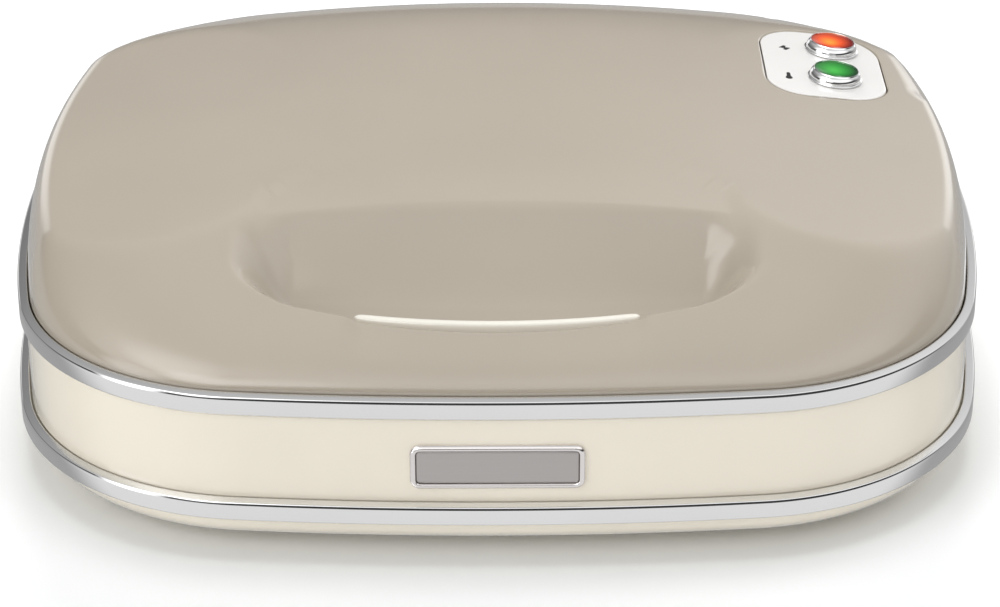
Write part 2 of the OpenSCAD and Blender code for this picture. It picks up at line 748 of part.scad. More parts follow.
module lever_pins() {
  color("silver") placed() translate([-post_x - post_w - 1, pivot_y, pivot_z]) rotate([0, 90, 0])
    cylinder(h = 2 * (post_x + post_w + 1), r = lever_pin_d / 2, $fn = fine);
}
spring_turns = 3;
spring_wire = 0.35;
module lever_spring() {
  steps = 12 * spring_turns;
  coil_r = lever_pin_d / 2 + 0.6;
  color("silver") placed() translate([-hook_w / 2 - 6.4, pivot_y, pivot_z]) rotate([0, 90, 0])
    tube([
      for (i = [0:steps]) let (a = 30 * i) [coil_r * cos(a), coil_r * sin(a), 3.8 * i / steps]
    ], spring_wire, 6);
}
module latch_catch() {
  color("silver") placed() translate([-hook_w / 2 + 1, 0, 0]) difference() {
    union() {
      translate([0, catch_y, catch_foot_z])
        cube([hook_w - 2, catch_t, nose_top + gap + catch_t - catch_foot_z]);
      translate([0, catch_y, nose_top + gap]) cube([hook_w - 2, catch_edge - catch_y, catch_t]);
      translate([0, catch_y, catch_foot_z]) cube([hook_w - 2, catch_foot_y - catch_y + 4, catch_t]);
    }
    translate([hook_w / 2 - 1, catch_foot_y, 0]) cylinder(h = through, r = 1.4 + slip, $fn = fine);
  }
}
module catch_screw() {
  color("silver") placed() translate([0, catch_foot_y, catch_foot_z + catch_t]) mirror([0, 0, 1])
    screw(catch_t + 1.6, thread_r - slip, 2.6, 1.4);
}

// Hinges: steel brackets on the base, arms on the lid, one pin each
module hinge_bracket() {
  translate([hinge_x - bracket_w / 2, 0, 0]) difference() {
    union() {
      translate([0, pad_y, bracket_low]) cube([bracket_w, bracket_t, bracket_top - bracket_low]);
      for (x = [0, bracket_w - hinge_t]) {
        translate([x, hinge_y, hinge_z]) rotate([0, 90, 0]) cylinder(h = hinge_t, r = hinge_r, $fn = fine);
        translate([x, pad_y, hinge_z - hinge_r]) cube([hinge_t, hinge_y - pad_y, 2 * hinge_r]);
      }
    }
    translate([-1, hinge_y, hinge_z]) rotate([0, 90, 0])
      cylinder(h = bracket_w + 2, r = pin_d / 2 + slip, $fn = fine);
    for (s = [-1, 1])
      translate([bracket_w / 2 + s * bracket_screw_x, pad_y - 1, bracket_screw_z]) rotate([-90, 0, 0])
        cylinder(h = 5, r = screw_r + slip, $fn = fine);
  }
}
module left_hinge_bracket() {
  color("silver") placed() mirror([1, 0, 0]) hinge_bracket();
}
module right_hinge_bracket() {
  color("silver") placed() hinge_bracket();
}
module bracket_screws() {
  color("silver") placed() both_sides() for (s = [-1, 1])
    translate([hinge_x + s * bracket_screw_x, pad_y + bracket_t, bracket_screw_z]) rotate([90, 0, 0])
      screw(bracket_t + 5, thread_r - slip, 2.4, 1.2);
}
module hinge_pins() {
  color("silver") placed() both_sides()
    translate([hinge_x - bracket_w / 2 - 0.2, hinge_y, hinge_z]) rotate([0, 90, 0]) {
      cylinder(h = bracket_w + 0.9, r = pin_d / 2, $fn = fine);
      translate([0, 0, -1.4]) cylinder(h = 1.4, r = pin_d / 2 + 1.4, $fn = fine);
      translate([0, 0, bracket_w + 0.5]) cylinder(h = 0.8, r = pin_d / 2 + 1.2, $fn = fine);
    }
}
barrel_r = hinge_r - 0.4;
tongue_z = lid_ring_z + 0.3;
tongue_t = 2.6;
tongue_front = half_d - 17;
web_t = 4.2;
web_y = hinge_y - web_t / 2 - 0.1;
arm_screw_x = 3.2;
arm_screw_y = half_d - 13;
arm_head_r = 2.2;
arm_head_h = 1.1;
module hinge_arm() {
  translate([hinge_x - arm_w / 2, 0, 0]) difference() {
    union() {
      translate([0, hinge_y, hinge_z]) rotate([0, 90, 0]) cylinder(h = arm_w, r = barrel_r, $fn = fine);
      translate([0, web_y, hinge_z]) cube([arm_w, web_t, tongue_z + tongue_t - hinge_z]);
      translate([0, tongue_front, tongue_z]) cube([arm_w, web_y - tongue_front + tiny, tongue_t]);
    }
    translate([-1, hinge_y, hinge_z]) rotate([0, 90, 0])
      cylinder(h = arm_w + 2, r = pin_d / 2 + slip, $fn = fine);
    for (s = [-1, 1])
      translate([arm_w / 2 + s * arm_screw_x, arm_screw_y, tongue_z - 1]) {
        cylinder(h = 5, r = thread_r + slip, $fn = fine);
        cylinder(h = arm_head_h + 1.1, r = arm_head_r + 0.1, $fn = fine);
      }
  }
}
module left_hinge_arm() {
  color("silver") placed() mirror([1, 0, 0]) hinge_arm();
}
module right_hinge_arm() {
  color("silver") placed() hinge_arm();
}
module arm_screws() {
  color("silver") placed() both_sides() for (s = [-1, 1])
    translate([hinge_x + s * arm_screw_x, arm_screw_y, tongue_z + arm_head_h + 0.1])
      screw(5.4, thread_r - slip, arm_head_r, arm_head_h);
}

// Lid: trim ring with notches for the arms, domed shell, frame
notch_top = tongue_z + tongue_t + gap;
module arm_notches(grow) {
  for (sx = [-1, 1])
    translate([sx * hinge_x - arm_w / 2 - grow, tongue_front - grow, 0])
      cube([arm_w + 2 * grow, 40, notch_top]);
}
module lid_trim_ring() {
  color("lightgray") placed() difference() {
    ring_shape(lid_ring_z, 0);
    arm_notches(gap);
  }
}
// Shares of the way from the slot to the rim, closest at the scoop's lip and at the shoulder
row_steps = [
  0, 0.012, 0.026, 0.042, 0.062, 0.086, 0.112, 0.14, 0.17, 0.205, 0.26,
  0.35, 0.46, 0.57, 0.67, 0.76, 0.84, 0.9, 0.945, 0.974, 0.99, 1
];
function shell_row(s, t) = [
  for (k = [0:loop_n - 1])
    let (p = slot_point(k) * (1 - s) + loop_point(k, ring_inset + t) * s)
      [p[0], p[1], lid_z + lid_height(p[0], p[1], t)]
];
panel_x = half_w - lamp_side - 4;
panel_y = half_d - lamp_rear - 10.7;
panel_w = 33.6;
panel_l = 47.4;
panel_r = 11;
panel_rear_r = 16;
// The panel's edge in plan, whose outer rear corner is rounder than the other three
function panel_edge(grow) = [
  for (q = [0:3]) for (i = [0:9])
    let (
      r = q == 1 ? panel_rear_r : panel_r, a = -90 + 90 * q + 90 * i / 9,
      c = [(q < 2 ? 1 : -1) * (panel_w / 2 - r), (q == 0 || q == 3 ? -1 : 1) * (panel_l / 2 - r)]
    )
    [panel_x, panel_y] + c + (r + grow) * [cos(a), sin(a)]
];
module panel_outline(grow) {
  polygon(panel_edge(grow));
}
boss_r = 3.4;
lid_screw_x = half_w - 34;
lid_screw_y = half_d - 34;
function boss_top(y) = min([
  for (a = [0:45:315]) lid_height(lid_screw_x + boss_r * cos(a), y + boss_r * sin(a))
]) - 0.8;
module lid_bosses() {
  for (sx = [-1, 1], y = [-lid_screw_y, lid_screw_y])
    translate([sx * lid_screw_x, y, seat_high])
      cylinder(h = lid_z + boss_top(y) - seat_high, r = boss_r, $fn = fine);
}
frame_back = 2 * mid_z - base_top + slab_drop + slab_t;
seat_high = 2 * mid_z - seat_low;
lid_head_z = lid_ring_z + 0.4 + head_h;
module lid_shell() {
  color("tan") placed() difference() {
    union() {
      loops_solid(concat(
        [for (s = row_steps) shell_row(s, wall)],
        [for (i = [len(row_steps) - 1:-1:0]) shell_row(row_steps[i], 0)]
      ));
      lid_bosses();
    }
    translate([0, 0, lid_z]) linear_extrude(through) panel_outline(gap);
    at_corners(lid_screw_x, lid_screw_y)
      translate([0, 0, seat_high - 1]) cylinder(h = 7, r = screw_r + slip, $fn = fine);
  }
}
module lid_frame() {
  color("ivory") placed() difference() {
    union() {
      mirrored_up() frame_shape(ring_w + gap, [lid_screw_x, lid_screw_y]);
      for (x = [-post_x - post_w, post_x])
        translate([x, pivot_y - 3.2, frame_back - tiny]) cube([post_w, 6.4, pivot_z + hub_r - frame_back]);
      for (sx = [-1, 1])
        translate([sx * hinge_x - arm_w / 2 - 2, tongue_front - 2, frame_back - 1])
          cube([arm_w + 4, arm_screw_y + 4.5 - tongue_front, 4]);
    }
    translate([-lever_w / 2 - gap, hook_slot_front, lid_ring_z - 1])
      cube([lever_w + 2 * gap, hook_slot_l, frame_back - lid_ring_z + 1]);
    translate([-post_x - 10, pivot_y, pivot_z]) rotate([0, 90, 0])
      cylinder(h = 2 * post_x + 20, r = lever_pin_d / 2 + slip, $fn = fine);
    at_corners(lid_screw_x, lid_screw_y) {
      cylinder(h = through, r = screw_r + slip, $fn = fine);
      cylinder(h = lid_head_z, r = head_r + gap, $fn = fine);
    }
    arm_notches(gap);
    for (sx = [-1, 1], s = [-1, 1])
      translate([sx * hinge_x + s * arm_screw_x, arm_screw_y, lid_ring_z])
        cylinder(h = 7, r = thread_r, $fn = fine);
  }
}
module lid_screws() {
  color("silver") placed() at_corners(lid_screw_x, lid_screw_y)
    translate([0, 0, lid_head_z]) screw(seat_high + 5.4 - lid_head_z, screw_r, head_r, head_h - 0.2);
}
module upper_plate() {
  color("dimgray") placed() mirrored_up() plate_shape();
}
module upper_plate_screws() {
  color("silver") placed() mirrored_up() plate_screw_set();
}
module upper_element() {
  color("slategray") placed() mirrored_up() element_shape();
}
module upper_reflector() {
  color("gainsboro") placed() mirrored_up() reflector_shape();
}
module upper_thermostat() {
  color("saddlebrown") placed() mirrored_up() thermostat_shape();
}
module lid_wiring() {
  z = 2 * mid_z - element_z;
  color("tomato") placed() {
    tube(rounded([
      [element_end_x, wire_end, z], [element_end_x, wire_end + 5, z], [30, wire_end + 7, z - 5],
      [hinge_x - 8, half_d - 20, frame_back + 5], [hinge_x, tongue_front + 2, frame_back + 5]
    ], wire_bend), wire_r, 8);
    tube(rounded([
      [-element_end_x, wire_end, z], [-element_end_x, wire_end + 8, z], [40, wire_end + 11, z - 1],
      [72, lamp_rear_y + 18, z - 1], [lamp_x - 3, holder_rear + 5, holder_z + 2],
      [lamp_x - 3, holder_rear, holder_z + 2]
    ], wire_bend), wire_r, 8);
  }
}

// Lamps in the white panel
lamp_x = half_w - lamp_side;
lamp_rear_y = half_d - lamp_rear;
lamp_front_y = lamp_rear_y - lamp_pitch;
holder_rear = lamp_rear_y + 8;
holder_z = lid_z + 8;
holder_h = 6;
holder_w = 16;
panel_t = 2.5;
stem_r = lens_d / 2 - 0.9;
neon_r = 2.6;
neon_x = lamp_x - 1.6;
neon_h = 5.6;
function steepness(x, y) = [dome(x - 0.5, y) - dome(x + 0.5, y), dome(x, y - 0.5) - dome(x, y + 0.5)];
module at_lamp(y) {
  lean = steepness(lamp_x, y);
  translate([lamp_x, y, lid_z + dome(lamp_x, y)])
    rotate([0, atan(norm(lean)), atan2(lean[1], lean[0])]) children();
}
panel_rows = 5;
function panel_row(s, t) = [
  for (edge = panel_edge(0))
    let (p = [panel_x, panel_y] * (1 - s) + edge * s)
      [p[0], p[1], lid_z + dome(p[0], p[1]) - t]
];
module lamp_panel() {
  color("white") placed() difference() {
    union() {
      loops_solid(concat(
        [for (j = [1:panel_rows]) panel_row(j / panel_rows, panel_t)],
        [for (j = [panel_rows:-1:1]) panel_row(j / panel_rows, 0)]
      ), closed = false);
      for (x = [-6.5, 3.5])
        translate([lamp_x + x, panel_y, holder_z + holder_h])
          cylinder(h = lid_z + dome(lamp_x, panel_y) - 1.5 - holder_z - holder_h, r = 2, $fn = fine);
    }
    for (y = [lamp_rear_y, lamp_front_y])
      at_lamp(y) translate([0, 0, -8]) cylinder(h = 16, r = stem_r + slip, $fn = fine);
  }
}
module bezel(y) {
  round_r = (bezel_d - lens_d) / 2;
  at_lamp(y) rotate_extrude($fn = 96) polygon(concat(
    [[stem_r - 0.8, -7], [stem_r, -7], [stem_r, 0.08], [bezel_d / 2, 0.08], [bezel_d / 2, bezel_h - round_r]],
    [for (i = [1:8]) let (a = 180 * i / 8)
      [(bezel_d + lens_d) / 4 + round_r / 2 * cos(a), bezel_h - round_r + round_r * sin(a)]],
    [[lens_d / 2, 0.6], [stem_r - 0.8, 0.6]]
  ));
}
module power_bezel() {
  color("lightgray") placed() bezel(lamp_rear_y);
}
module ready_bezel() {
  color("lightgray") placed() bezel(lamp_front_y);
}
module lens(y) {
  at_lamp(y) rotate_extrude($fn = 96) polygon([
    [0, 0.62], [lens_d / 2 - slip, 0.62], [lens_d / 2 - slip, bezel_h - 0.7], [lens_d / 2 - 1.2, bezel_h - 1],
    [lens_d / 4, bezel_h - 1.2], [0, bezel_h - 1.25]
  ]);
}
module power_lens() {
  color("orangered") placed() lens(lamp_rear_y);
}
module ready_lens() {
  color("limegreen") placed() lens(lamp_front_y);
}
module neon_lamps() {
  color("orange") placed() for (y = [lamp_rear_y, lamp_front_y])
    translate([neon_x, y, holder_z + 2]) {
      cylinder(h = neon_h, r = neon_r, $fn = fine);
      translate([0, 0, neon_h]) sphere(neon_r, $fn = 32);
    }
}
module lamp_holder() {
  color("white") placed() difference() {
    translate([neon_x - holder_w / 2, lamp_front_y - 8, holder_z])
      cube([holder_w, holder_rear - lamp_front_y + 8, holder_h]);
    for (y = [lamp_rear_y, lamp_front_y])
      translate([neon_x, y, holder_z + 2]) cylinder(h = holder_h, r = neon_r + slip, $fn = fine);
  }
}

base_pan();
feet();
base_screws();
base_trim_ring();
base_shell();
badge();
base_frame();
lower_plate();
lower_plate_screws();
lower_element();
lower_reflector();
lower_thermostat();
thermal_fuse();
terminal_block();
base_wiring();
cord_gland();
latch_catch();
catch_screw();
left_hinge_bracket();
right_hinge_bracket();
bracket_screws();
hinge_pins();
lid_trim_ring();
lid_shell();
lid_frame();
lid_screws();
upper_plate();
upper_plate_screws();
upper_element();
upper_reflector();
upper_thermostat();
lid_wiring();
lamp_panel();
power_bezel();
ready_bezel();
power_lens();
ready_lens();
neon_lamps();
lamp_holder();
left_hinge_arm();
right_hinge_arm();
arm_screws();
lever_pins();
lever_spring();
latch_lever();
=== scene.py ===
"""Looks of a sandwich toaster: a beige domed lid over a cream base, with chrome trim and two lamps."""
import json
import logging
import math
from dataclasses import dataclass, field
from enum import Enum
from typing import Callable, Sequence

import bpy
import numpy as np
from mathutils import Euler, Matrix, Vector

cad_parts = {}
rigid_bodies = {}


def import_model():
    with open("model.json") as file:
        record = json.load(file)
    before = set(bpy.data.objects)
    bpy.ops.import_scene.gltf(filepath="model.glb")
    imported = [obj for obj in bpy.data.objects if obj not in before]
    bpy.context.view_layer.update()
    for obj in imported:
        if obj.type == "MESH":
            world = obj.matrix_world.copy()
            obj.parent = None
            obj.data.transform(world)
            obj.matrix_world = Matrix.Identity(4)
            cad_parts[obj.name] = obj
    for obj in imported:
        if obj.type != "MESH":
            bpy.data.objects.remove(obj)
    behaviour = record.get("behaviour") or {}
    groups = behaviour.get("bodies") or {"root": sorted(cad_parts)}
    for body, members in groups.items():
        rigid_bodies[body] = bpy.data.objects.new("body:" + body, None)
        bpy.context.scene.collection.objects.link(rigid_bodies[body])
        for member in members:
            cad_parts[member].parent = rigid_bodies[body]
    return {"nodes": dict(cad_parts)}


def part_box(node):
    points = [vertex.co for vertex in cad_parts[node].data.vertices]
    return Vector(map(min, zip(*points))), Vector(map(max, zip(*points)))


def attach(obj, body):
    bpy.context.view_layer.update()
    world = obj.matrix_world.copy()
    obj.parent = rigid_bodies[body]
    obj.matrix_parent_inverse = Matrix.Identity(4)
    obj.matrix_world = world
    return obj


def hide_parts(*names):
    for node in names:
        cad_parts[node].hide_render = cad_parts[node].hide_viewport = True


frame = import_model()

MM = 0.001
log = logging.getLogger("sandwich_toaster")


class Body(Enum):
    """The rigid bodies that pieces ride on."""

    BASE = "base"
    LID = "lid"
    LATCH = "latch"


class Ends(Enum):
    """How a loft of rows is closed."""

    RING = "last row joins the first"
    CAPS = "first and last row are each filled"
    OPEN = "left open for other faces"


# Meshes


def mesh_object(name: str, points: np.ndarray, faces: Sequence[Sequence[int]], smooth: bool = True) -> bpy.types.Object:
    """Puts points and faces into a new object at the origin.

    Args:
        name: the object's name.
        points: vertex positions in metres, one row each.
        faces: vertex numbers of each face, anticlockwise from outside.
        smooth: whether the faces are shaded smooth.
    Returns:
        The linked object.
    """
    mesh = bpy.data.meshes.new(name)
    mesh.from_pydata(np.asarray(points, float).tolist(), [], [list(map(int, f)) for f in faces])
    mesh.validate()
    mesh.polygons.foreach_set("use_smooth", np.full(len(mesh.polygons), smooth))
    made = bpy.data.objects.new(name, mesh)
    bpy.context.scene.collection.objects.link(made)
    return made


def grid_faces(rows: int, cols: int, ends: Ends, offset: int = 0) -> np.ndarray:
    """Quads between neighbouring rows of a grid whose columns close round.

    Args:
        rows: number of rows.
        cols: number of points in a row.
        ends: RING joins the last row to the first.
        offset: number of the grid's first vertex.
    Returns:
        Vertex numbers, four to a face: a point, its right neighbour, and the two in the next row.
    """
    j, k = np.meshgrid(np.arange(rows if ends is Ends.RING else rows - 1), np.arange(cols), indexing="ij")
    here, right = j * cols + k, j * cols + (k + 1) % cols
    nxt = (j + 1) % rows
    above, above_right = nxt * cols + k, nxt * cols + (k + 1) % cols
    return offset + np.stack([here, right, above_right, above], -1).reshape(-1, 4)


def loft(name: str, rows: np.ndarray, ends: Ends = Ends.CAPS) -> bpy.types.Object:
    """Skins rows of points that each close round.

    Args:
        name: the object's name.
        rows: positions shaped (rows, columns, 3); going up the rows with the columns anticlockwise
            seen from above gives faces that point outwards.
        ends: how the first and last row are closed.
    Returns:
        The closed object.
    """
    count, cols = rows.shape[:2]
    faces = grid_faces(count, cols, ends).tolist()
    if ends is Ends.CAPS:
        faces.append(list(range(cols))[::-1])
        faces.append([(count - 1) * cols + k for k in range(cols)])
    return mesh_object(name, rows.reshape(-1, 3), faces)


def arc(centre: tuple[float, float], radius: float | tuple[float, float], start: float, end: float, steps: int) -> np.ndarray:
    """Points of a circular or elliptic arc in a profile's plane, centre + radius (cos a, sin a).

    Args:
        centre: the arc's centre.
        radius: one radius, or one across and one up.
        start: first angle in degrees.
        end: last angle in degrees.
        steps: number of segments.
    Returns:
        steps + 1 points.
    """
    a = np.radians(np.linspace(start, end, steps + 1))
    rx, ry = radius if isinstance(radius, tuple) else (radius, radius)
    return np.stack([centre[0] + rx * np.cos(a), centre[1] + ry * np.sin(a)], -1)


def smooth(v: np.ndarray) -> np.ndarray:
    """Smoothstep of v, clipped to 0 and 1: 3 v squared minus 2 v cubed."""
    c = np.clip(v, 0, 1)
    return c * c * (3 - 2 * c)


def lathe(name: str, profile: np.ndarray, cols: int = 128) -> bpy.types.Object:
    """Turns a closed profile of (radius, height) points about the Z axis.

    Args:
        name: the object's name.
        profile: points in metres, going up the outside; a first or last radius of 0 makes a pole.
        cols: number of columns.
    Returns:
        The object, with its poles merged.
    """
    a = np.linspace(0, 2 * np.pi, cols, endpoint=False)
    rows = np.stack([
        profile[:, None, 0] * np.cos(a), profile[:, None, 0] * np.sin(a), profile[:, None, 1] + 0 * a,
    ], -1)
    closed = profile[0, 0] > 1e-7 and profile[-1, 0] > 1e-7
    made = loft(name, rows, Ends.RING if closed else Ends.OPEN)
    weld(made, 1e-7)
    return made


def weld(made: bpy.types.Object, distance: float) -> None:
    """Merges vertices of an object that lie within a distance, in metres."""
    import bmesh
    work = bmesh.new()
    work.from_mesh(made.data)
    bmesh.ops.remove_doubles(work, verts=work.verts, dist=distance)
    work.to_mesh(made.data)
    work.free()


def carve(made: bpy.types.Object, cutters: Sequence[bpy.types.Object]) -> None:
    """Cuts closed meshes out of a piece and removes the cutters.

    Args:
        made: the piece.
        cutters: closed objects.
    """
    for cutter in cutters:
        cut = made.modifiers.new("cut", "BOOLEAN")
        cut.operation, cut.solver, cut.object = "DIFFERENCE", "EXACT", cutter
        apply_modifiers(made)
        bpy.data.objects.remove(cutter)


def apply_modifiers(made: bpy.types.Object) -> None:
    """Writes a piece's modifiers into its mesh."""
    graph = bpy.context.evaluated_depsgraph_get()
    mesh = bpy.data.meshes.new_from_object(made.evaluated_get(graph))
    made.modifiers.clear()
    made.data = mesh


def joined(name: str, parts: Sequence[bpy.types.Object]) -> bpy.types.Object:
    """Joins several objects at the origin into one.

    Args:
        name: the joined object's name.
        parts: at least one object.
    Returns:
        The first object, holding every mesh.
    """
    with bpy.context.temp_override(active_object=parts[0], selected_editable_objects=list(parts)):
        bpy.ops.object.join()
    parts[0].name = parts[0].data.name = name
    return parts[0]


# Plan and dome


@dataclass(frozen=True)
class Outline:
    """Plan of the casing: front, rear and side arcs joined by tangent corner arcs.

    An inset moves every point along its own normal, so all insets stay tangent arcs.
    """

    half_w: float
    half_d: float
    centre_y: float
    front_r: float = 670 * MM
    side_r: float = 320 * MM
    corner_r: float = 63 * MM

    @property
    def front_centre(self) -> np.ndarray:
        """Centre of the front arc, with the casing's middle at the origin."""
        return np.array([0, self.front_r - self.half_d])

    @property
    def side_centre(self) -> np.ndarray:
        """Centre of the right side's arc."""
        return np.array([self.half_w - self.side_r, 0])

    @property
    def corner_centre(self) -> np.ndarray:
        """Where circles about the two centres, each less the corner's radius, cross at front right."""
        step = self.side_centre - self.front_centre
        apart = np.linalg.norm(step)
        r0, r1 = self.front_r - self.corner_r, self.side_r - self.corner_r
        along = (r0 * r0 - r1 * r1 + apart * apart) / (2 * apart)
        unit = step / apart
        return self.front_centre + unit * along + np.array([-unit[1], unit[0]]) * math.sqrt(r0 * r0 - along * along)

    def turns(self) -> tuple[float, float]:
        """Angles in radians where the corner arc begins and ends."""
        to_front = self.corner_centre - self.front_centre
        to_side = self.corner_centre - self.side_centre
        return math.atan2(to_front[1], to_front[0]), math.atan2(to_side[1], to_side[0])

    def loop(self, count: int) -> tuple[np.ndarray, np.ndarray]:
        """Points of the outline and their outward normals, anticlockwise from the front's middle.

        Args:
            count: number of points, a multiple of 4.
        Returns:
            Two arrays shaped (count, 2).
        """
        start, end = self.turns()
        fine = np.linspace(-math.pi / 2, 0, 4000)
        radius = np.where(fine < start, self.front_r, np.where(fine < end, self.corner_r, self.side_r))
        share = np.concatenate([[0], np.cumsum((radius[1:] + 0.06) * np.diff(fine))])
        a = np.interp(np.linspace(0, share[-1], count // 4 + 1), share, fine)
        centre = np.where((a < start)[:, None], self.front_centre, self.side_centre)
        centre = np.where(((a >= start) & (a < end))[:, None], self.corner_centre, centre)
        reach = np.where(a < start, self.front_r, np.where(a < end, self.corner_r, self.side_r))
        normal = np.stack([np.cos(a), np.sin(a)], -1)
        point = centre + reach[:, None] * normal
        quads_p, quads_n = [], []
        for sx, sy, back in ((1, 1, False), (1, -1, True), (-1, -1, False), (-1, 1, True)):
            sign = np.array([sx, sy])
            for source, out in ((point, quads_p), (normal, quads_n)):
                part = source * sign
                out.append(part[::-1][:-1] if back else part[:-1])
        return np.concatenate(quads_p) + [0, self.centre_y], np.concatenate(quads_n)

    def inside(self, x: np.ndarray, y: np.ndarray) -> tuple[np.ndarray, np.ndarray]:
        """How far points lie inside the outline, and how much each faces the rear.

        Args:
            x: positions across.
            y: positions from front to back.
        Returns:
            Distances, and the y parts of the outline's nearest normals, from -1 at the front to 1.
        """
        y = y - self.centre_y
        p = np.stack([np.abs(x), -np.abs(y)], -1)
        start, end = self.turns()
        v = p - self.corner_centre
        a = np.arctan2(v[..., 1], v[..., 0])
        corner = (a > start) & (a < end)
        to_front, to_side = p - self.front_centre, p - self.side_centre
        d_front = self.front_r - np.linalg.norm(to_front, axis=-1)
        d_side = self.side_r - np.linalg.norm(to_side, axis=-1)
        distance = np.where(corner, self.corner_r - np.linalg.norm(v, axis=-1), np.minimum(d_front, d_side))
        pick = np.where((d_front < d_side)[..., None], to_front, to_side)
        n = np.where(corner[..., None], v, pick)
        lean = n[..., 1] / np.maximum(np.linalg.norm(n, axis=-1), 1e-6)
        return distance, np.where(y > 0, -lean, lean)

    def sweep(self, profile: np.ndarray, count: int = 480) -> np.ndarray:
        """Carries a profile of (inset, height) points round the outline.

        Args:
            profile: insets and heights in metres.
            count: number of points in a row.
        Returns:
            Rows shaped (len(profile), count, 3).
        """
        points, normals = self.loop(count)
        flat = points[None] - profile[:, None, :1] * normals[None]
        return np.concatenate([flat, np.broadcast_to(profile[:, None, 1:], flat.shape[:2] + (1,))], -1)


@dataclass(frozen=True)
class Dome:
    """The lid's skin with its finger scoop, as a height over the plan."""

    outline: Outline
    low: float
    rise: float = 26.8 * MM
    inset: float = 2.8 * MM
    wall: float = 2.5 * MM
    crown_side: float = 9.5 * MM
    crown_front: float = 3.4 * MM
    crown_y: float = 20 * MM
    slope_front: float = 62 * MM
    slope_side: float = 6 * MM
    slope_rear: float = 57 * MM
    ease: float = 0.22
    scoop_w: float = 126 * MM
    scoop_l: float = 43.3 * MM
    scoop_front: float = 15.2 * MM
    scoop_round: float = 16 * MM
    scoop_soft: float = 16 * MM
    scoop_lead: float = 3 * MM
    scoop_floor: float = 5 * MM
    scoop_ledge: float = 20 * MM
    scoop_rear: float = 9 * MM
    ledge_ease: float = 0.16
    lip_r: float = 156 * MM
    lip_wall: float = 2.2 * MM
    lever_w: float = 70 * MM
    notch: float = 1.2 * MM
    notch_fade: float = 14 * MM

    @property
    def lip_y(self) -> float:
        """Where the front lip's middle is."""
        return self.outline.centre_y - self.outline.half_d + self.scoop_front

    def plain(self, x: np.ndarray, y: np.ndarray, drop: float = 0.0) -> np.ndarray:
        """Height of the dome without its scoop: a crowned top times a superelliptic shoulder.

        The share left to the shoulder's inner end is eased, so that the top flows into it.

        Args:
            x: positions across.
            y: positions from front to back.
            drop: depth below the skin.
        Returns:
            Heights above the trim ring.
        """
        o = self.outline
        distance, rearward = o.inside(x, y)
        f, g = np.maximum(-rearward, 0) ** 2, np.maximum(rearward, 0) ** 2
        width = self.slope_side + (self.slope_front - self.slope_side) * f + (self.slope_rear - self.slope_side) * g
        power = 2 - 0.32 * f + 0.5 * g
        left = 1 - (distance - self.inset - drop) / width
        left = np.clip((left + np.hypot(left, self.ease)) / (1 + math.hypot(1, self.ease)), 0, 1)
        shoulder = (1 - left ** power) ** (1 / power)
        crown = self.crown_side * (x / o.half_w) ** 2
        crown = crown + self.crown_front * ((y - o.centre_y - self.crown_y) / o.half_d) ** 2
        return (self.rise - drop - crown) * shoulder

    def behind_lip(self, x: np.ndarray, y: np.ndarray) -> np.ndarray:
        """Distance back from the curved lip, stretched to reach the scoop's straight rear rim."""
        front = self.lip_y + self.lip_r - np.sqrt(np.maximum(self.lip_r ** 2 - x ** 2, 1e-9))
        return (y - front) * self.scoop_l / (self.lip_y + self.scoop_l - front)

    def scooped(self, x: np.ndarray, v: np.ndarray, drop: float) -> np.ndarray:
        """Depth share of the scoop: 0 outside its rounded edge, 1 well inside.

        The share is a smoothstep of the distance inside the edge over a width, which is short along
        the lip and long at the sides and rear; it turns from one to the other round the front corners.

        Args:
            x: positions across.
            v: distances behind the lip.
            drop: depth below the skin.
        Returns:
            Shares from 0 to 1.
        """
        qx = np.abs(x) - self.scoop_w / 2 + self.scoop_round
        qy = np.abs(v - self.scoop_l / 2) - self.scoop_l / 2 + self.scoop_round
        out_x, out_y = np.maximum(qx, 0), np.maximum(qy, 0)
        within = self.scoop_round - np.hypot(out_x, out_y) - np.minimum(np.maximum(qx, qy), 0)
        facing = smooth((np.degrees(np.arctan2(out_y, out_x)) - 25) / 50)
        lip, rear = facing * (v < self.scoop_l / 2), facing * (v >= self.scoop_l / 2)
        width = self.scoop_soft + (self.lip_wall - self.scoop_soft) * lip + (self.scoop_rear - self.scoop_soft) * rear
        return smooth((within + drop + self.scoop_lead * (1 - lip)) / width)

    def height(self, x: np.ndarray, y: np.ndarray, drop: float = 0.0) -> np.ndarray:
        """Height of the skin above the trim ring: the dome, lowered to the scoop's floor inside its rim.

        The floor is a flat ledge under the lever, then an even slope up to the rear rim.

        Args:
            x: positions across.
            y: positions from front to back.
            drop: depth below the skin.
        Returns:
            Heights above the trim ring.
        """
        h, v = self.plain(x, y, drop), self.behind_lip(x, y)
        rim = float(self.plain(np.array(0.0), np.array(self.lip_y + self.scoop_l), drop))
        start = self.scoop_floor - drop
        back = np.clip((v - self.scoop_ledge) / (self.scoop_l - self.scoop_ledge), -1, 1)
        back = (back + np.hypot(back, self.ledge_ease)) / (1 + math.hypot(1, self.ledge_ease))
        floor = start + (rim - start) * back
        notch = smooth((self.lever_w / 2 + 2.5 * MM - np.abs(x)) / (5 * MM)) * smooth(1 + v / self.notch_fade)
        notch = self.notch * notch * (1 - smooth(v / (4 * MM)))
        return h - self.scooped(x, v, drop) * np.maximum(h - floor, 0) - notch

    def top(self, x: np.ndarray, y: np.ndarray, drop: float = 0.0) -> np.ndarray:
        """Points on the skin over a plan grid, in the part's frame."""
        return np.stack([x, y, self.low + self.height(x, y, drop)], -1)

    def lean(self, x: float, y: float) -> Vector:
        """The plain dome's outward normal at one place."""
        e = 0.5 * MM
        xs, ys = np.array([x - e, x + e, x, x]), np.array([y, y, y - e, y + e])
        h = self.plain(xs, ys)
        return Vector((h[0] - h[1], h[2] - h[3], 2 * e)).normalized()

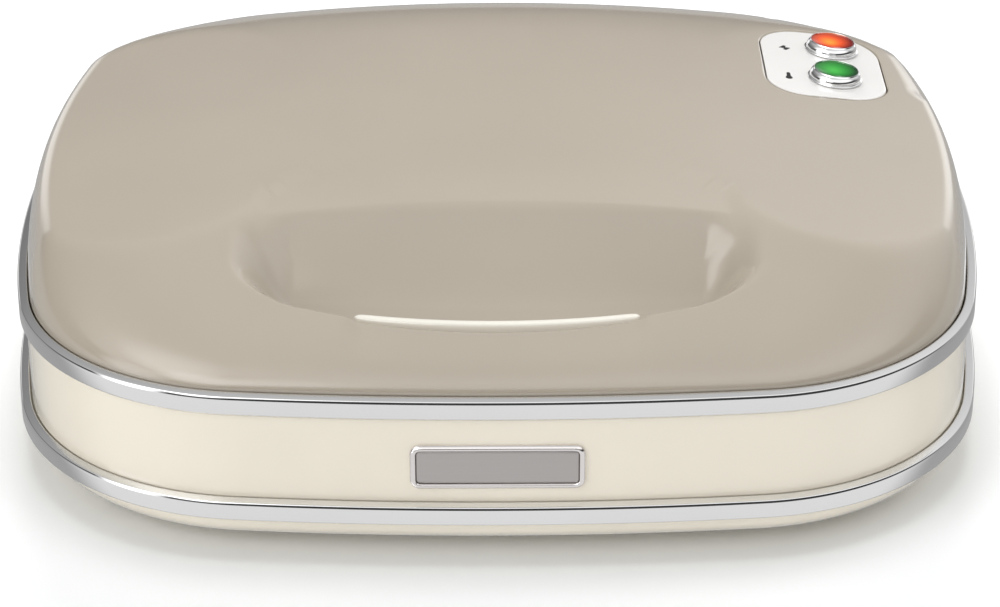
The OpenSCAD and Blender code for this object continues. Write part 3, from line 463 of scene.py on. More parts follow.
    def on_lip(self, along: np.ndarray, behind: np.ndarray) -> np.ndarray:
        """Plan points at a distance along the lip's curve and behind it.

        Args:
            along: distances along the curve from its middle.
            behind: distances behind the lip.
        Returns:
            Points shaped (..., 2).
        """
        r = self.lip_r - behind
        a = along / (self.lip_r - 6 * MM)
        return np.stack([r * np.sin(a), self.lip_y + self.lip_r - r * np.cos(a)], -1)


# Finishes


class Bench:
    """A material's node tree with short ways to add to it."""

    def __init__(self, name: str) -> None:
        """Starts a material with one principled shader.

        Args:
            name: the material's name.
        """
        self.material = bpy.data.materials.new(name)
        self.material.use_nodes = True
        self.tree = self.material.node_tree
        self.tree.nodes.clear()
        self.shader = self.tree.nodes.new("ShaderNodeBsdfPrincipled")
        out = self.tree.nodes.new("ShaderNodeOutputMaterial")
        self.tree.links.new(self.shader.outputs[0], out.inputs["Surface"])
        self.place = self.tree.nodes.new("ShaderNodeTexCoord").outputs["Object"]

    def set(self, **values: float | tuple) -> None:
        """Sets sockets of the shader, with underscores for the blanks in their names."""
        for key, value in values.items():
            self.shader.inputs[key.replace("_", " ")].default_value = value

    def noise(self, scale: float, detail: float = 3, stretch: tuple = (1, 1, 1), rough: float = 0.5) -> bpy.types.NodeSocket:
        """Noise over the object's own coordinates.

        Args:
            scale: features per metre.
            detail: octaves.
            stretch: factors on the three axes.
            rough: how strong the finer octaves are.
        Returns:
            The noise's value socket.
        """
        mapping = self.tree.nodes.new("ShaderNodeMapping")
        mapping.inputs["Scale"].default_value = stretch
        self.tree.links.new(self.place, mapping.inputs["Vector"])
        node = self.tree.nodes.new("ShaderNodeTexNoise")
        for key, value in (("Scale", scale), ("Detail", detail), ("Roughness", rough)):
            node.inputs[key].default_value = value
        self.tree.links.new(mapping.outputs[0], node.inputs["Vector"])
        return node.outputs["Fac"]

    def between(self, value: bpy.types.NodeSocket, low: float, high: float, start: float = 0.3, end: float = 0.7) -> bpy.types.NodeSocket:
        """Maps a value from start..end to low..high, clipped.

        Args:
            value: the socket to map.
            low: result at start.
            high: result at end.
            start: where the change begins.
            end: where it ends.
        Returns:
            The mapped socket.
        """
        node = self.tree.nodes.new("ShaderNodeMapRange")
        for key, v in (("From Min", start), ("From Max", end), ("To Min", low), ("To Max", high)):
            node.inputs[key].default_value = v
        self.tree.links.new(value, node.inputs["Value"])
        return node.outputs[0]

    def tint(self, value: bpy.types.NodeSocket, stops: Sequence[tuple[float, tuple]]) -> None:
        """Colours the shader by a ramp over a value.

        Args:
            value: the socket that picks the colour.
            stops: places and linear colours.
        """
        self.tree.links.new(self.ramp(value, stops), self.shader.inputs["Base Color"])

    def ramp(self, value: bpy.types.NodeSocket, stops: Sequence[tuple[float, tuple]]) -> bpy.types.NodeSocket:
        """A colour ramp over a value; the arguments are those of tint, and it returns the colour socket."""
        node = self.tree.nodes.new("ShaderNodeValToRGB")
        points = node.color_ramp.elements
        while len(points) < len(stops):
            points.new(0.5)
        for point, (where, colour) in zip(points, stops):
            point.position, point.color = where, (*colour, 1)
        self.tree.links.new(value, node.inputs[0])
        return node.outputs[0]

    def feed(self, socket: str, value: bpy.types.NodeSocket) -> None:
        """Links a value to one of the shader's sockets."""
        self.tree.links.new(value, self.shader.inputs[socket])

    def bump(self, value: bpy.types.NodeSocket, depth: float, strength: float = 1.0) -> None:
        """Bumps the surface by a value.

        Args:
            value: the height, from 0 to 1.
            depth: metres from 0 to 1.
            strength: how much the bump tilts the shading.
        """
        node = self.tree.nodes.new("ShaderNodeBump")
        node.inputs["Distance"].default_value = depth
        node.inputs["Strength"].default_value = strength
        self.tree.links.new(value, node.inputs["Height"])
        self.feed("Normal", node.outputs[0])


def shade(colour: tuple, factor: float) -> tuple:
    """A colour made lighter or darker by a factor."""
    return tuple(min(c * factor, 1.0) for c in colour)


@dataclass(frozen=True)
class Finish:
    """A surface finish that makes its material once."""

    name: str
    colour: tuple

    def material(self) -> bpy.types.Material:
        """The finish's material, made on first use."""
        return bpy.data.materials.get(self.name) or self.build(Bench(self.name))

    def build(self, b: Bench) -> bpy.types.Material:
        """Lays out the nodes; each finish has its own way."""
        raise NotImplementedError


@dataclass(frozen=True)
class GlossPlastic(Finish):
    """Glossy moulding: slow drifts in tint, faint flow marks and fine wipe marks under a clear coat."""

    gloss: float = 0.16
    coat: float = 1.0
    drift: float = 0.03

    def build(self, b: Bench) -> bpy.types.Material:
        """Noise at three scales for tint, roughness and a very shallow ripple."""
        b.set(Coat_Weight=self.coat, Coat_Roughness=0.035, IOR=1.48, Specular_IOR_Level=0.5)
        b.tint(b.noise(14, 3), [(0.3, shade(self.colour, 1 - self.drift)), (0.7, shade(self.colour, 1 + self.drift))])
        b.feed("Roughness", b.between(b.noise(160, 5, (1, 0.25, 1), 0.65), self.gloss, self.gloss + 0.07))
        b.bump(b.noise(420, 2), 0.012 * MM, 0.12)
        return b.material


@dataclass(frozen=True)
class SatinPlastic(Finish):
    """Satin moulding with a spark-eroded grain."""

    rough: float = 0.42
    grain: float = 0.03 * MM

    def build(self, b: Bench) -> bpy.types.Material:
        """Fine noise for grain, coarse noise for tint."""
        b.set(IOR=1.48)
        b.tint(b.noise(18, 3), [(0.3, shade(self.colour, 0.95)), (0.7, shade(self.colour, 1.04))])
        b.feed("Roughness", b.between(b.noise(300, 4), self.rough - 0.05, self.rough + 0.08))
        b.bump(b.noise(2600, 4), self.grain, 0.5)
        return b.material


@dataclass(frozen=True)
class Chrome(Finish):
    """Bright plating with faint haze and hairline wipe marks."""

    haze: float = 0.05

    def build(self, b: Bench) -> bpy.types.Material:
        """Metal whose roughness drifts a little, with stretched noise for the hairlines."""
        b.set(Metallic=1.0, Specular_IOR_Level=0.5)
        b.tint(b.noise(30, 2), [(0.3, shade(self.colour, 0.97)), (0.7, self.colour)])
        b.feed("Roughness", b.between(b.noise(240, 5, (0.3, 0.3, 3), 0.6), self.haze, self.haze + 0.05))
        b.bump(b.noise(700, 3, (0.2, 0.2, 4)), 0.004 * MM, 0.1)
        return b.material


@dataclass(frozen=True)
class BrushedMetal(Finish):
    """Metal with brush lines along one axis."""

    rough: float = 0.28
    across: tuple = (0.02, 1, 1)
    depth: float = 0.012 * MM
    contrast: float = 0.15

    def build(self, b: Bench) -> bpy.types.Material:
        """Noise drawn out along the lines, for tint, roughness and bump."""
        b.set(Metallic=1.0)
        lines = b.noise(1800, 4, self.across, 0.7)
        b.tint(lines, [(0.25, shade(self.colour, 1 - self.contrast)), (0.75, shade(self.colour, 1 + self.contrast / 2))])
        b.feed("Roughness", b.between(lines, self.rough, self.rough + 0.14))
        b.bump(lines, self.depth, 0.5)
        return b.material


@dataclass(frozen=True)
class PlatedSteel(Finish):
    """Zinc-plated or heat-dulled steel with soft mottling."""

    rough: float = 0.3
    mottle: float = 0.15

    def build(self, b: Bench) -> bpy.types.Material:
        """Mottled tint and roughness with a fine grain."""
        b.set(Metallic=1.0)
        b.tint(b.noise(220, 5, rough=0.6), [(0.3, shade(self.colour, 1 - self.mottle)), (0.7, shade(self.colour, 1.05))])
        b.feed("Roughness", b.between(b.noise(500, 5), self.rough, self.rough + 0.2))
        b.bump(b.noise(3000, 3), 0.01 * MM, 0.35)
        return b.material


@dataclass(frozen=True)
class NonStick(Finish):
    """Dark non-stick coating with fine pale specks and a pebbled skin."""

    def build(self, b: Bench) -> bpy.types.Material:
        """Specks from the peaks of a fine noise over a dark ground."""
        b.set(Metallic=0.15, IOR=1.5)
        b.tint(b.noise(2600, 2, rough=0.4), [(0.62, self.colour), (0.72, shade(self.colour, 3.2))])
        b.feed("Roughness", b.between(b.noise(700, 4), 0.34, 0.5))
        b.bump(b.noise(1500, 3), 0.03 * MM, 0.45)
        return b.material


@dataclass(frozen=True)
class Rubber(Finish):
    """Matt rubber with a dusty bloom."""

    def build(self, b: Bench) -> bpy.types.Material:
        """Soft bloom over a fine grain."""
        b.set(Specular_IOR_Level=0.3)
        b.tint(b.noise(260, 4), [(0.35, self.colour), (0.75, shade(self.colour, 1.6))])
        b.feed("Roughness", b.between(b.noise(600, 3), 0.66, 0.85))
        b.bump(b.noise(3200, 3), 0.03 * MM, 0.5)
        return b.material


@dataclass(frozen=True)
class LampLens(Finish):
    """Tinted lens lit from behind: hot in the middle, deep at its rim."""

    rim: tuple = (0, 0, 0)
    middle: tuple = (0, 0, 0)
    glow: float = 0.8
    centre: tuple = (0, 0, 0)
    radius: float = 6.1 * MM

    def build(self, b: Bench) -> bpy.types.Material:
        """A ramp over the distance from the lens's axis, a little in front of its middle."""
        mapping = b.tree.nodes.new("ShaderNodeMapping")
        mapping.vector_type = "POINT"
        mapping.inputs["Location"].default_value = tuple(-c / self.radius for c in self.centre)
        mapping.inputs["Scale"].default_value = (1 / self.radius,) * 3
        b.tree.links.new(b.place, mapping.inputs["Vector"])
        far = b.tree.nodes.new("ShaderNodeVectorMath")
        far.operation = "LENGTH"
        b.tree.links.new(mapping.outputs[0], far.inputs[0])
        colour = b.ramp(far.outputs["Value"], [(0.1, self.middle), (0.52, self.colour), (0.97, self.rim)])
        b.tree.links.new(colour, b.shader.inputs["Base Color"])
        b.tree.links.new(colour, b.shader.inputs["Emission Color"])
        b.set(Emission_Strength=self.glow, Coat_Weight=0.12, Coat_Roughness=0.03, IOR=1.4, Specular_IOR_Level=0.3)
        b.feed("Roughness", b.between(b.noise(900, 3), 0.08, 0.16))
        b.bump(b.noise(500, 2), 0.02 * MM, 0.2)
        return b.material


CREAM = GlossPlastic("cream_moulding", (0.90, 0.83, 0.70))
BEIGE = GlossPlastic("beige_moulding", (0.45, 0.395, 0.32), gloss=0.2, drift=0.025)
WHITE = GlossPlastic("white_panel_moulding", (0.87, 0.855, 0.835))
INK = SatinPlastic("black_print", (0.012, 0.012, 0.013))
IVORY = GlossPlastic("ivory_lever", (0.90, 0.87, 0.79))
TRIM = Chrome("polished_trim", (0.80, 0.80, 0.80))
BEZEL = Chrome("bezel_plating", (0.84, 0.84, 0.84), haze=0.03)
BADGE_FIELD = BrushedMetal("badge_brushed_field", (0.50, 0.475, 0.465), rough=0.34, contrast=0.06)
BADGE_EDGE = Chrome("badge_edge", (0.78, 0.75, 0.74), haze=0.12)
FRAME = SatinPlastic("heat_proof_frame", (0.60, 0.54, 0.43))
COATING = NonStick("non_stick_coating", (0.014, 0.0135, 0.013))
ZINC = PlatedSteel("zinc_plated_steel", (0.50, 0.50, 0.49))
SPRING = PlatedSteel("spring_steel", (0.36, 0.36, 0.37), rough=0.24)
SHEATH = PlatedSteel("heated_sheath", (0.12, 0.11, 0.105), rough=0.4, mottle=0.4)
SHEET = PlatedSteel("reflector_sheet", (0.66, 0.66, 0.65), rough=0.16, mottle=0.08)
CASE = PlatedSteel("thermostat_case", (0.34, 0.27, 0.18))
BRASS = PlatedSteel("fuse_brass", (0.52, 0.38, 0.14))
TERMINAL = SatinPlastic("terminal_plastic", (0.68, 0.68, 0.66))
WIRE = SatinPlastic("wire_sleeve", (0.30, 0.035, 0.02), rough=0.5)
GLAND = SatinPlastic("gland_plastic", (0.012, 0.012, 0.012))
FEET = Rubber("foot_rubber", (0.018, 0.018, 0.018))
NEON = GlossPlastic("neon_glass", (0.72, 0.42, 0.26), gloss=0.05)
HOLDER = SatinPlastic("lamp_holder_plastic", (0.62, 0.60, 0.56))


def dress(piece: bpy.types.Object, finish: Finish, body: Body, slot: str, *nodes: str) -> bpy.types.Object:
    """Gives a piece its finish and body, and hides the CAD nodes that it stands for.

    Args:
        piece: the finished mesh.
        finish: its surface.
        body: the body that it rides on.
        slot: the record's material slot; not used.
        nodes: CAD nodes that it replaces.
    Returns:
        The piece.
    """
    piece.data.materials.clear()
    piece.data.materials.append(finish.material())
    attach(piece, body.value)
    if nodes:
        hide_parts(*nodes)
    return piece


def rounded_box_loop(w: float, h: float, r: float, count: int, first_r: float | None = None) -> np.ndarray:
    """Points of a rounded rectangle about the origin, evenly spaced by their angle from its middle.

    Each side and corner arc is sampled closely, and the samples are read off at even angles.

    Args:
        w: width.
        h: height.
        r: corner radius.
        count: number of points.
        first_r: radius of the corner where both coordinates are positive, if it differs.
    Returns:
        Points shaped (count, 2), anticlockwise from the right.
    """
    radii = [r if first_r is None else first_r, r, r, r]
    signs = [(1, 1), (-1, 1), (-1, -1), (1, -1)]
    corners = []
    for k, (radius, (sx, sy)) in enumerate(zip(radii, signs)):
        a = np.radians(np.linspace(90 * k, 90 * k + 90, 90))
        corners.append(np.stack([sx * (w / 2 - radius) + radius * np.cos(a), sy * (h / 2 - radius) + radius * np.sin(a)], -1))
    dense = np.concatenate(corners)
    step = np.linspace(0, 1, 40, endpoint=False)[:, None, None]
    dense = (dense * (1 - step) + np.roll(dense, -1, 0) * step).transpose(1, 0, 2).reshape(-1, 2)
    bearing = np.arctan2(dense[:, 1], dense[:, 0])
    want = np.linspace(0, 2 * np.pi, count, endpoint=False)
    reach = np.interp(want, bearing, np.hypot(dense[:, 0], dense[:, 1]), period=2 * np.pi)
    return reach[:, None] * np.stack([np.cos(want), np.sin(want)], -1)


# Sub-assemblies


@dataclass
class Casing:
    """The base's cream mouldings and both chrome rings."""

    outline: Outline
    wall: float = 2.5 * MM
    wall_inset: float = 1.6 * MM
    ring_step: float = 1.25 * MM
    ring_w: float = 4.1 * MM
    facet_r: float = 3.17 * MM
    facet_h: float = 0.79 * MM
    shoulder_h: float = 0.55 * MM
    brow_r: float = 0.33 * MM
    seat_drop: float = 0.42 * MM
    ring_round: float = 0.5 * MM
    seat_inset: float = 2.8 * MM
    pad_half: float = 10.3 * MM
    screw_r: float = 3.4 * MM
    screw_inset: float = 32 * MM

    def ring_profile(self, low: float, high: float, step: float) -> np.ndarray:
        """A trim ring's section: upright face, leaning facet, flat shoulder, sunk seat and rolled lower edge.

        The facet leans from 10 to 25 degrees, a small brow turns it over, and the shoulder rises gently.

        Args:
            low: the ring's bottom.
            high: its top.
            step: how far it stands outside the outline.
        Returns:
            Closed profile of (inset, height) points, up the outside.
        """
        r, fine = self.ring_round, 0.15 * MM
        lean = np.radians(np.linspace(10, 25, 5))
        facet = np.stack([
            self.facet_r * (np.cos(lean[0]) - np.cos(lean)),
            high - self.shoulder_h - self.facet_h + self.facet_r * (np.sin(lean) - np.sin(lean[0])),
        ], -1)
        turn = np.radians(np.linspace(25, 77, 7))[1:]
        brow = facet[-1] + self.brow_r * np.stack([math.cos(lean[-1]) - np.cos(turn), np.sin(turn) - math.sin(lean[-1])], -1)
        reach, t = self.seat_inset - 0.4 * MM, np.linspace(0, 1, 8)[1:]
        rise = high - brow[-1, 1]
        shoulder = np.stack([
            brow[-1, 0] + (reach - brow[-1, 0]) * t, brow[-1, 1] + rise * (1.2 * t - 0.2 * t ** 2),
        ], -1)
        seat = high - self.seat_drop
        section = np.concatenate([
            arc((r, low + r), r, 270, 180, 6),
            facet,
            brow,
            shoulder,
            [[reach + 0.05 * MM, seat]],
            arc((self.ring_w - fine, seat - fine), fine, 90, 0, 3),
            arc((self.ring_w - fine, low + fine), fine, 0, -90, 3),
        ])
        return section - [step, 0]

    def trim_rings(self) -> None:
        """Both polished rings."""
        for node, step, body in (("base_trim_ring", self.ring_step, Body.BASE), ("lid_trim_ring", 0.0, Body.LID)):
            low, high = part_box(node)
            rows = self.outline.sweep(self.ring_profile(low.z, high.z, step), 560)
            ring = loft(node.replace("trim_ring", "polished_ring"), rows, Ends.RING)
            if body is Body.LID:
                carve(ring, self.arm_notches(low.z))
            dress(ring, TRIM, body, "chrome_trim", node)

    def arm_notches(self, low: float) -> list[bpy.types.Object]:
        """Cutters for the notches that the hinge arms pass through.

        Args:
            low: the ring's bottom.
        Returns:
            One box for each arm.
        """
        gap, found = 0.3 * MM, []
        for node in ("left_hinge_arm", "right_hinge_arm"):
            a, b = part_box(node)
            x = np.array([a.x - gap, b.x + gap])
            y = np.array([a.y - gap, b.y])
            loop = np.array([[x[0], y[0]], [x[1], y[0]], [x[1], y[1]], [x[0], y[1]]])
            rows = np.stack([np.column_stack([loop, np.full(4, z)]) for z in (low - 2 * MM, low + 3.2 * MM)])
            found.append(loft("notch_cutter", rows))
        return found

    def wall_band(self) -> None:
        """The cream wall: its plan is the outline, pushed out to flat pads behind the hinge brackets.

        The push is the distance to the pad's plane times a smooth window across and up the wall.
        """
        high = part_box("base_shell")[1]
        top = high.z
        ring_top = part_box("base_trim_ring")[1].z - self.seat_drop
        r, d0, d1 = 0.6 * MM, self.wall_inset, self.wall_inset + self.wall
        section = np.concatenate([
            np.stack([np.full(46, d0), np.linspace(ring_top, top - r, 46)], -1),
            arc((d0 + r, top - r), r, 180, 90, 6)[1:],
            arc((d1 - r / 2, top - r / 2), r / 2, 90, 0, 4),
            [[d1, ring_top]],
        ])
        rows = self.outline.sweep(section, 960)
        pad_y, gap = high.y, 0.6 * MM
        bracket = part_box("right_hinge_bracket")
        mid = (bracket[0].x + bracket[1].x) / 2
        x, y, z = rows[..., 0], rows[..., 1], rows[..., 2]
        across = smooth((self.pad_half + 1.5 * MM - np.abs(np.abs(x) - mid)) / (2 * MM))
        up = smooth((z - bracket[0].z + 2 * MM) / (1.6 * MM)) * smooth((bracket[1].z + 0.5 * MM - z) / gap)
        outer = np.arange(len(section)) < 46
        push = np.maximum(pad_y - y, 0) * across * up * (y > 0) * outer[:, None]
        rows[..., 1] = y + push
        wall = loft("base_wall", rows, Ends.RING)
        dress(wall, CREAM, Body.BASE, "cream_plastic", "base_shell")

    def pan(self) -> None:
        """The cream bottom pan: a section that rolls under in one flowing curve."""
        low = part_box("base_pan")[0]
        ring_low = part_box("base_trim_ring")[0].z
        depth = ring_low - low.z
        a = np.linspace(math.pi / 2, 0, 24)
        rolled = np.stack([1.9 * MM + 12.1 * MM * (1 - np.cos(a)) ** 1.05, ring_low - depth * np.sin(a) ** 0.9], -1)
        inner = self.wall_inset + self.wall + 0.3 * MM
        section = np.concatenate([
            [[40 * MM, low.z]], [[20 * MM, low.z]], rolled,
            [[inner, ring_low]], [[inner, ring_low + 8 * MM]],
            [[inner + 2 * MM, ring_low + 8 * MM]], [[inner + 2 * MM, ring_low - 1 * MM]],
            [[inner + 6 * MM, low.z + 3.2 * MM]], [[inner + 14 * MM, low.z + 2.5 * MM]], [[40 * MM, low.z + 2.5 * MM]],
        ])
        pan = loft("bottom_pan", self.outline.sweep(section, 480), Ends.CAPS)
        places = [
            np.array([sx * (self.outline.half_w - self.screw_inset), sy * (self.outline.half_d - self.screw_inset)])
            for sx in (-1, 1) for sy in (-1, 1)
        ]
        centres = [place + [0, self.outline.centre_y] for place in places]
        r, floor = self.screw_r, low.z + 2.5 * MM
        hole = np.array([[0, low.z - 1 * MM], [r, low.z - 1 * MM], [r, floor + 1 * MM], [0, floor + 1 * MM]])
        drills = [lathe("well_drill", hole, 48) for _ in centres]
        for drill, (x, y) in zip(drills, centres):
            drill.data.transform(Matrix.Translation((x, y, 0)))
        carve(pan, drills)
        dress(pan, CREAM, Body.BASE, "cream_plastic", "base_pan")
        cup = np.array([
            [r + 0.02 * MM, low.z + 0.3 * MM], [r + 1.5 * MM, low.z + 0.8 * MM], [r + 1.5 * MM, floor + 1.6 * MM],
            [2.2 * MM, floor + 1.6 * MM], [2.2 * MM, floor + 0.1 * MM], [r - 0.4 * MM, floor + 0.1 * MM],
            [r, floor - 0.3 * MM],
        ])
        for number, (x, y) in enumerate(centres, 1):
            well = lathe(f"screw_well_{number}", cup, 64)
            level_normals(well)
            well.data.transform(Matrix.Translation((x, y, 0)))
            dress(well, CREAM, Body.BASE, "cream_plastic")

    def build(self) -> None:
        """Makes the rings, wall and pan."""
        self.trim_rings()
        self.wall_band()
        self.pan()


@dataclass
class LampPanel:
    """The white panel with its two lamps and their signs."""

    dome: Dome
    w: float = 32.5 * MM
    l: float = 46.5 * MM
    shift: tuple = (0.55 * MM, -0.45 * MM)
    r: float = 11 * MM
    rear_r: float = 16 * MM
    gap: float = 0.42 * MM
    edge: float = 0.5 * MM
    thick: float = 2.4 * MM
    print_t: float = 0.06 * MM
    centre: tuple = field(init=False)

    def __post_init__(self) -> None:
        """Takes the panel's place from its CAD node."""
        low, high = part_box("lamp_panel")
        self.centre = ((low.x + high.x) / 2 + self.shift[0], (low.y + high.y) / 2 + self.shift[1])

    def loop(self, grow: float, count: int) -> np.ndarray:
        """Plan points of the panel's edge, moved outwards by grow."""
        flat = rounded_box_loop(self.w + 2 * grow, self.l + 2 * grow, self.r + grow, count, self.rear_r + grow)
        return flat + np.array(self.centre)

    def plate(self) -> None:
        """The panel's skin: the dome's own surface inside the edge, rolled over at the rim."""
        count = 240
        edge, middle = self.loop(0, count), np.array(self.centre)
        share = np.concatenate([np.linspace(0.02, 0.96, 30), 0.975 + 0.025 * np.sin(np.linspace(0, math.pi / 2, 7))])
        fall = self.edge * (1 - np.sqrt(1 - np.clip((share - 0.975) / 0.025, 0, 1) ** 2))
        flat = middle + (edge - middle)[None] * share[:, None, None]
        top = np.concatenate([flat, (self.dome.low + self.dome.plain(flat[..., 0], flat[..., 1]))[..., None]], -1)
        top[..., 2] -= fall[:, None]
        under = top[[0, -1]] - [0, 0, self.thick]
        panel = loft("white_lamp_panel", np.concatenate([under, top[::-1]]))
        dress(panel, WHITE, Body.LID, "white_panel", "lamp_panel")

    def sign(self, name: str, outline: Sequence[tuple[float, float]], place: tuple[float, float]) -> None:
        """A flat printed sign that follows the panel.

        Args:
            name: the piece's name.
            outline: corners in millimetres about its place, anticlockwise.
            place: its place in metres.
        """
        flat = np.array(outline) * MM + np.array(place)
        steps = np.linspace(0, 1, 6, endpoint=False)[:, None]
        flat = np.concatenate([a + (b - a) * steps for a, b in zip(flat, np.roll(flat, -1, 0))])
        z = self.dome.low + self.dome.plain(flat[:, 0], flat[:, 1])
        rows = np.stack([np.column_stack([flat, z + h]) for h in (-0.3 * MM, self.print_t)])
        made = loft(name, rows)
        made.data.polygons.foreach_set("use_smooth", np.zeros(len(made.data.polygons), bool))
        dress(made, INK, Body.LID, "gland_plastic")

    def signs(self) -> None:
        """A bolt beside the mains lamp and a thermometer beside the ready lamp."""
        bolt = [(-1.6, -0.1), (-0.35, 1.6), (0.45, 1.4), (0.15, 0.35), (1.6, 0.1), (0.35, -1.6), (-0.45, -1.2), (-0.1, -0.3)]
        a = np.radians(np.linspace(150, 390, 13))
        bulb = [(0.95 * math.cos(v), -0.9 + 0.95 * math.sin(v)) for v in a]
        stem = [(0.55, 0.2), (0.5, 2.2), (0.25, 2.6), (-0.25, 2.6), (-0.5, 2.2), (-0.55, 0.2)]
        lamps = [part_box("power_lens"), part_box("ready_lens")]
        rows = [(low.y + high.y) / 2 for low, high in lamps]
        x = self.centre[0] - 10.6 * MM
        self.sign("mains_sign", bolt[::-1], (x + 0.9 * MM, rows[0] - 1.6 * MM))
        self.sign("ready_sign", bulb + stem, (x + 0.4 * MM, rows[1] - 1.4 * MM))

    def lamp(self, prefix: str, finish: LampLens, slot: str, label: str, nudge: float) -> None:
        """A chrome bezel and its lens, turned about the dome's normal.

        The bezel's section is a thin flange, a bulged outer wall, a thin crest and a conical seat.

        Args:
            prefix: start of the two CAD nodes' names.
            finish: the lens's look.
            slot: the lens's material slot.
            label: start of the pieces' names.
            nudge: how far it sits to the right of the node's middle, within its flange.
        """
        low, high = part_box(prefix + "_bezel")
        x, y = (low.x + high.x) / 2 + nudge, (low.y + high.y) / 2
        flange_r, mouth_r, top = 7.5 * MM, 5.95 * MM, 2.9 * MM
        section = np.concatenate([
            [[4.6 * MM, -4 * MM]], [[5.1 * MM, -4 * MM]], [[5.2 * MM, 0.06 * MM]], [[flange_r - 0.25 * MM, 0.06 * MM]],
            arc((flange_r - 0.22 * MM, 0.28 * MM), 0.22 * MM, -70, 85, 8),
            arc((7.1 * MM, 0.68 * MM), (0.12 * MM, 0.12 * MM), 250, 190, 4),
            arc((5.2 * MM, 0.85 * MM), (1.85 * MM, 1.95 * MM), -4, 60, 22),
            arc((6.05 * MM, top - 0.15 * MM), (0.1 * MM, 0.15 * MM), 60, 180, 8),
            [[mouth_r - 0.05 * MM, 1.0 * MM]], [[4.6 * MM, 0.6 * MM]],
        ])
        bezel = lathe(label + "_bezel_ring", section, 160)
        rim, u = mouth_r - 0.07 * MM, np.linspace(0, 1, 24)
        bowl = np.stack([rim * (1 - u), top - 0.35 * MM - 0.75 * MM * np.sin(u * math.pi / 2)], -1)
        lens = lathe(label + "_lens_cap", np.concatenate([
            [[0, 0.7 * MM], [rim - 0.2 * MM, 0.7 * MM], [rim, 0.9 * MM], [rim, top - 0.5 * MM]], bowl,
        ]), 128)
        turn = self.dome.lean(x, y).to_track_quat("Z", "X")
        spot = Vector((x, y, self.dome.low + float(self.dome.plain(np.array(x), np.array(y)))))
        for piece in (bezel, lens):
            piece.data.transform(Matrix.Translation(spot) @ turn.to_matrix().to_4x4())
        dress(bezel, BEZEL, Body.LID, "bezel_chrome", prefix + "_bezel")
        lit = LampLens(
            finish.name, finish.colour, finish.rim, finish.middle, finish.glow,
            tuple(spot + turn @ Vector((0.4 * MM, -1.2 * MM, 2 * MM))),
        )
        dress(lens, lit, Body.LID, slot, prefix + "_lens")

    def build(self) -> None:
        """Makes the panel, its signs and both lamps."""
        self.plate()
        self.signs()
        amber = LampLens("amber_lens_glow", (0.56, 0.055, 0.005), (0.13, 0.004, 0.003), (0.80, 0.21, 0.012), 0.5)
        green = LampLens("green_lens_glow", (0.012, 0.22, 0.022), (0.003, 0.045, 0.009), (0.035, 0.36, 0.04), 0.3)
        self.lamp("power", amber, "amber_lens", "mains", -0.2 * MM)
        self.lamp("ready", green, "green_lens", "ready", -1.1 * MM)


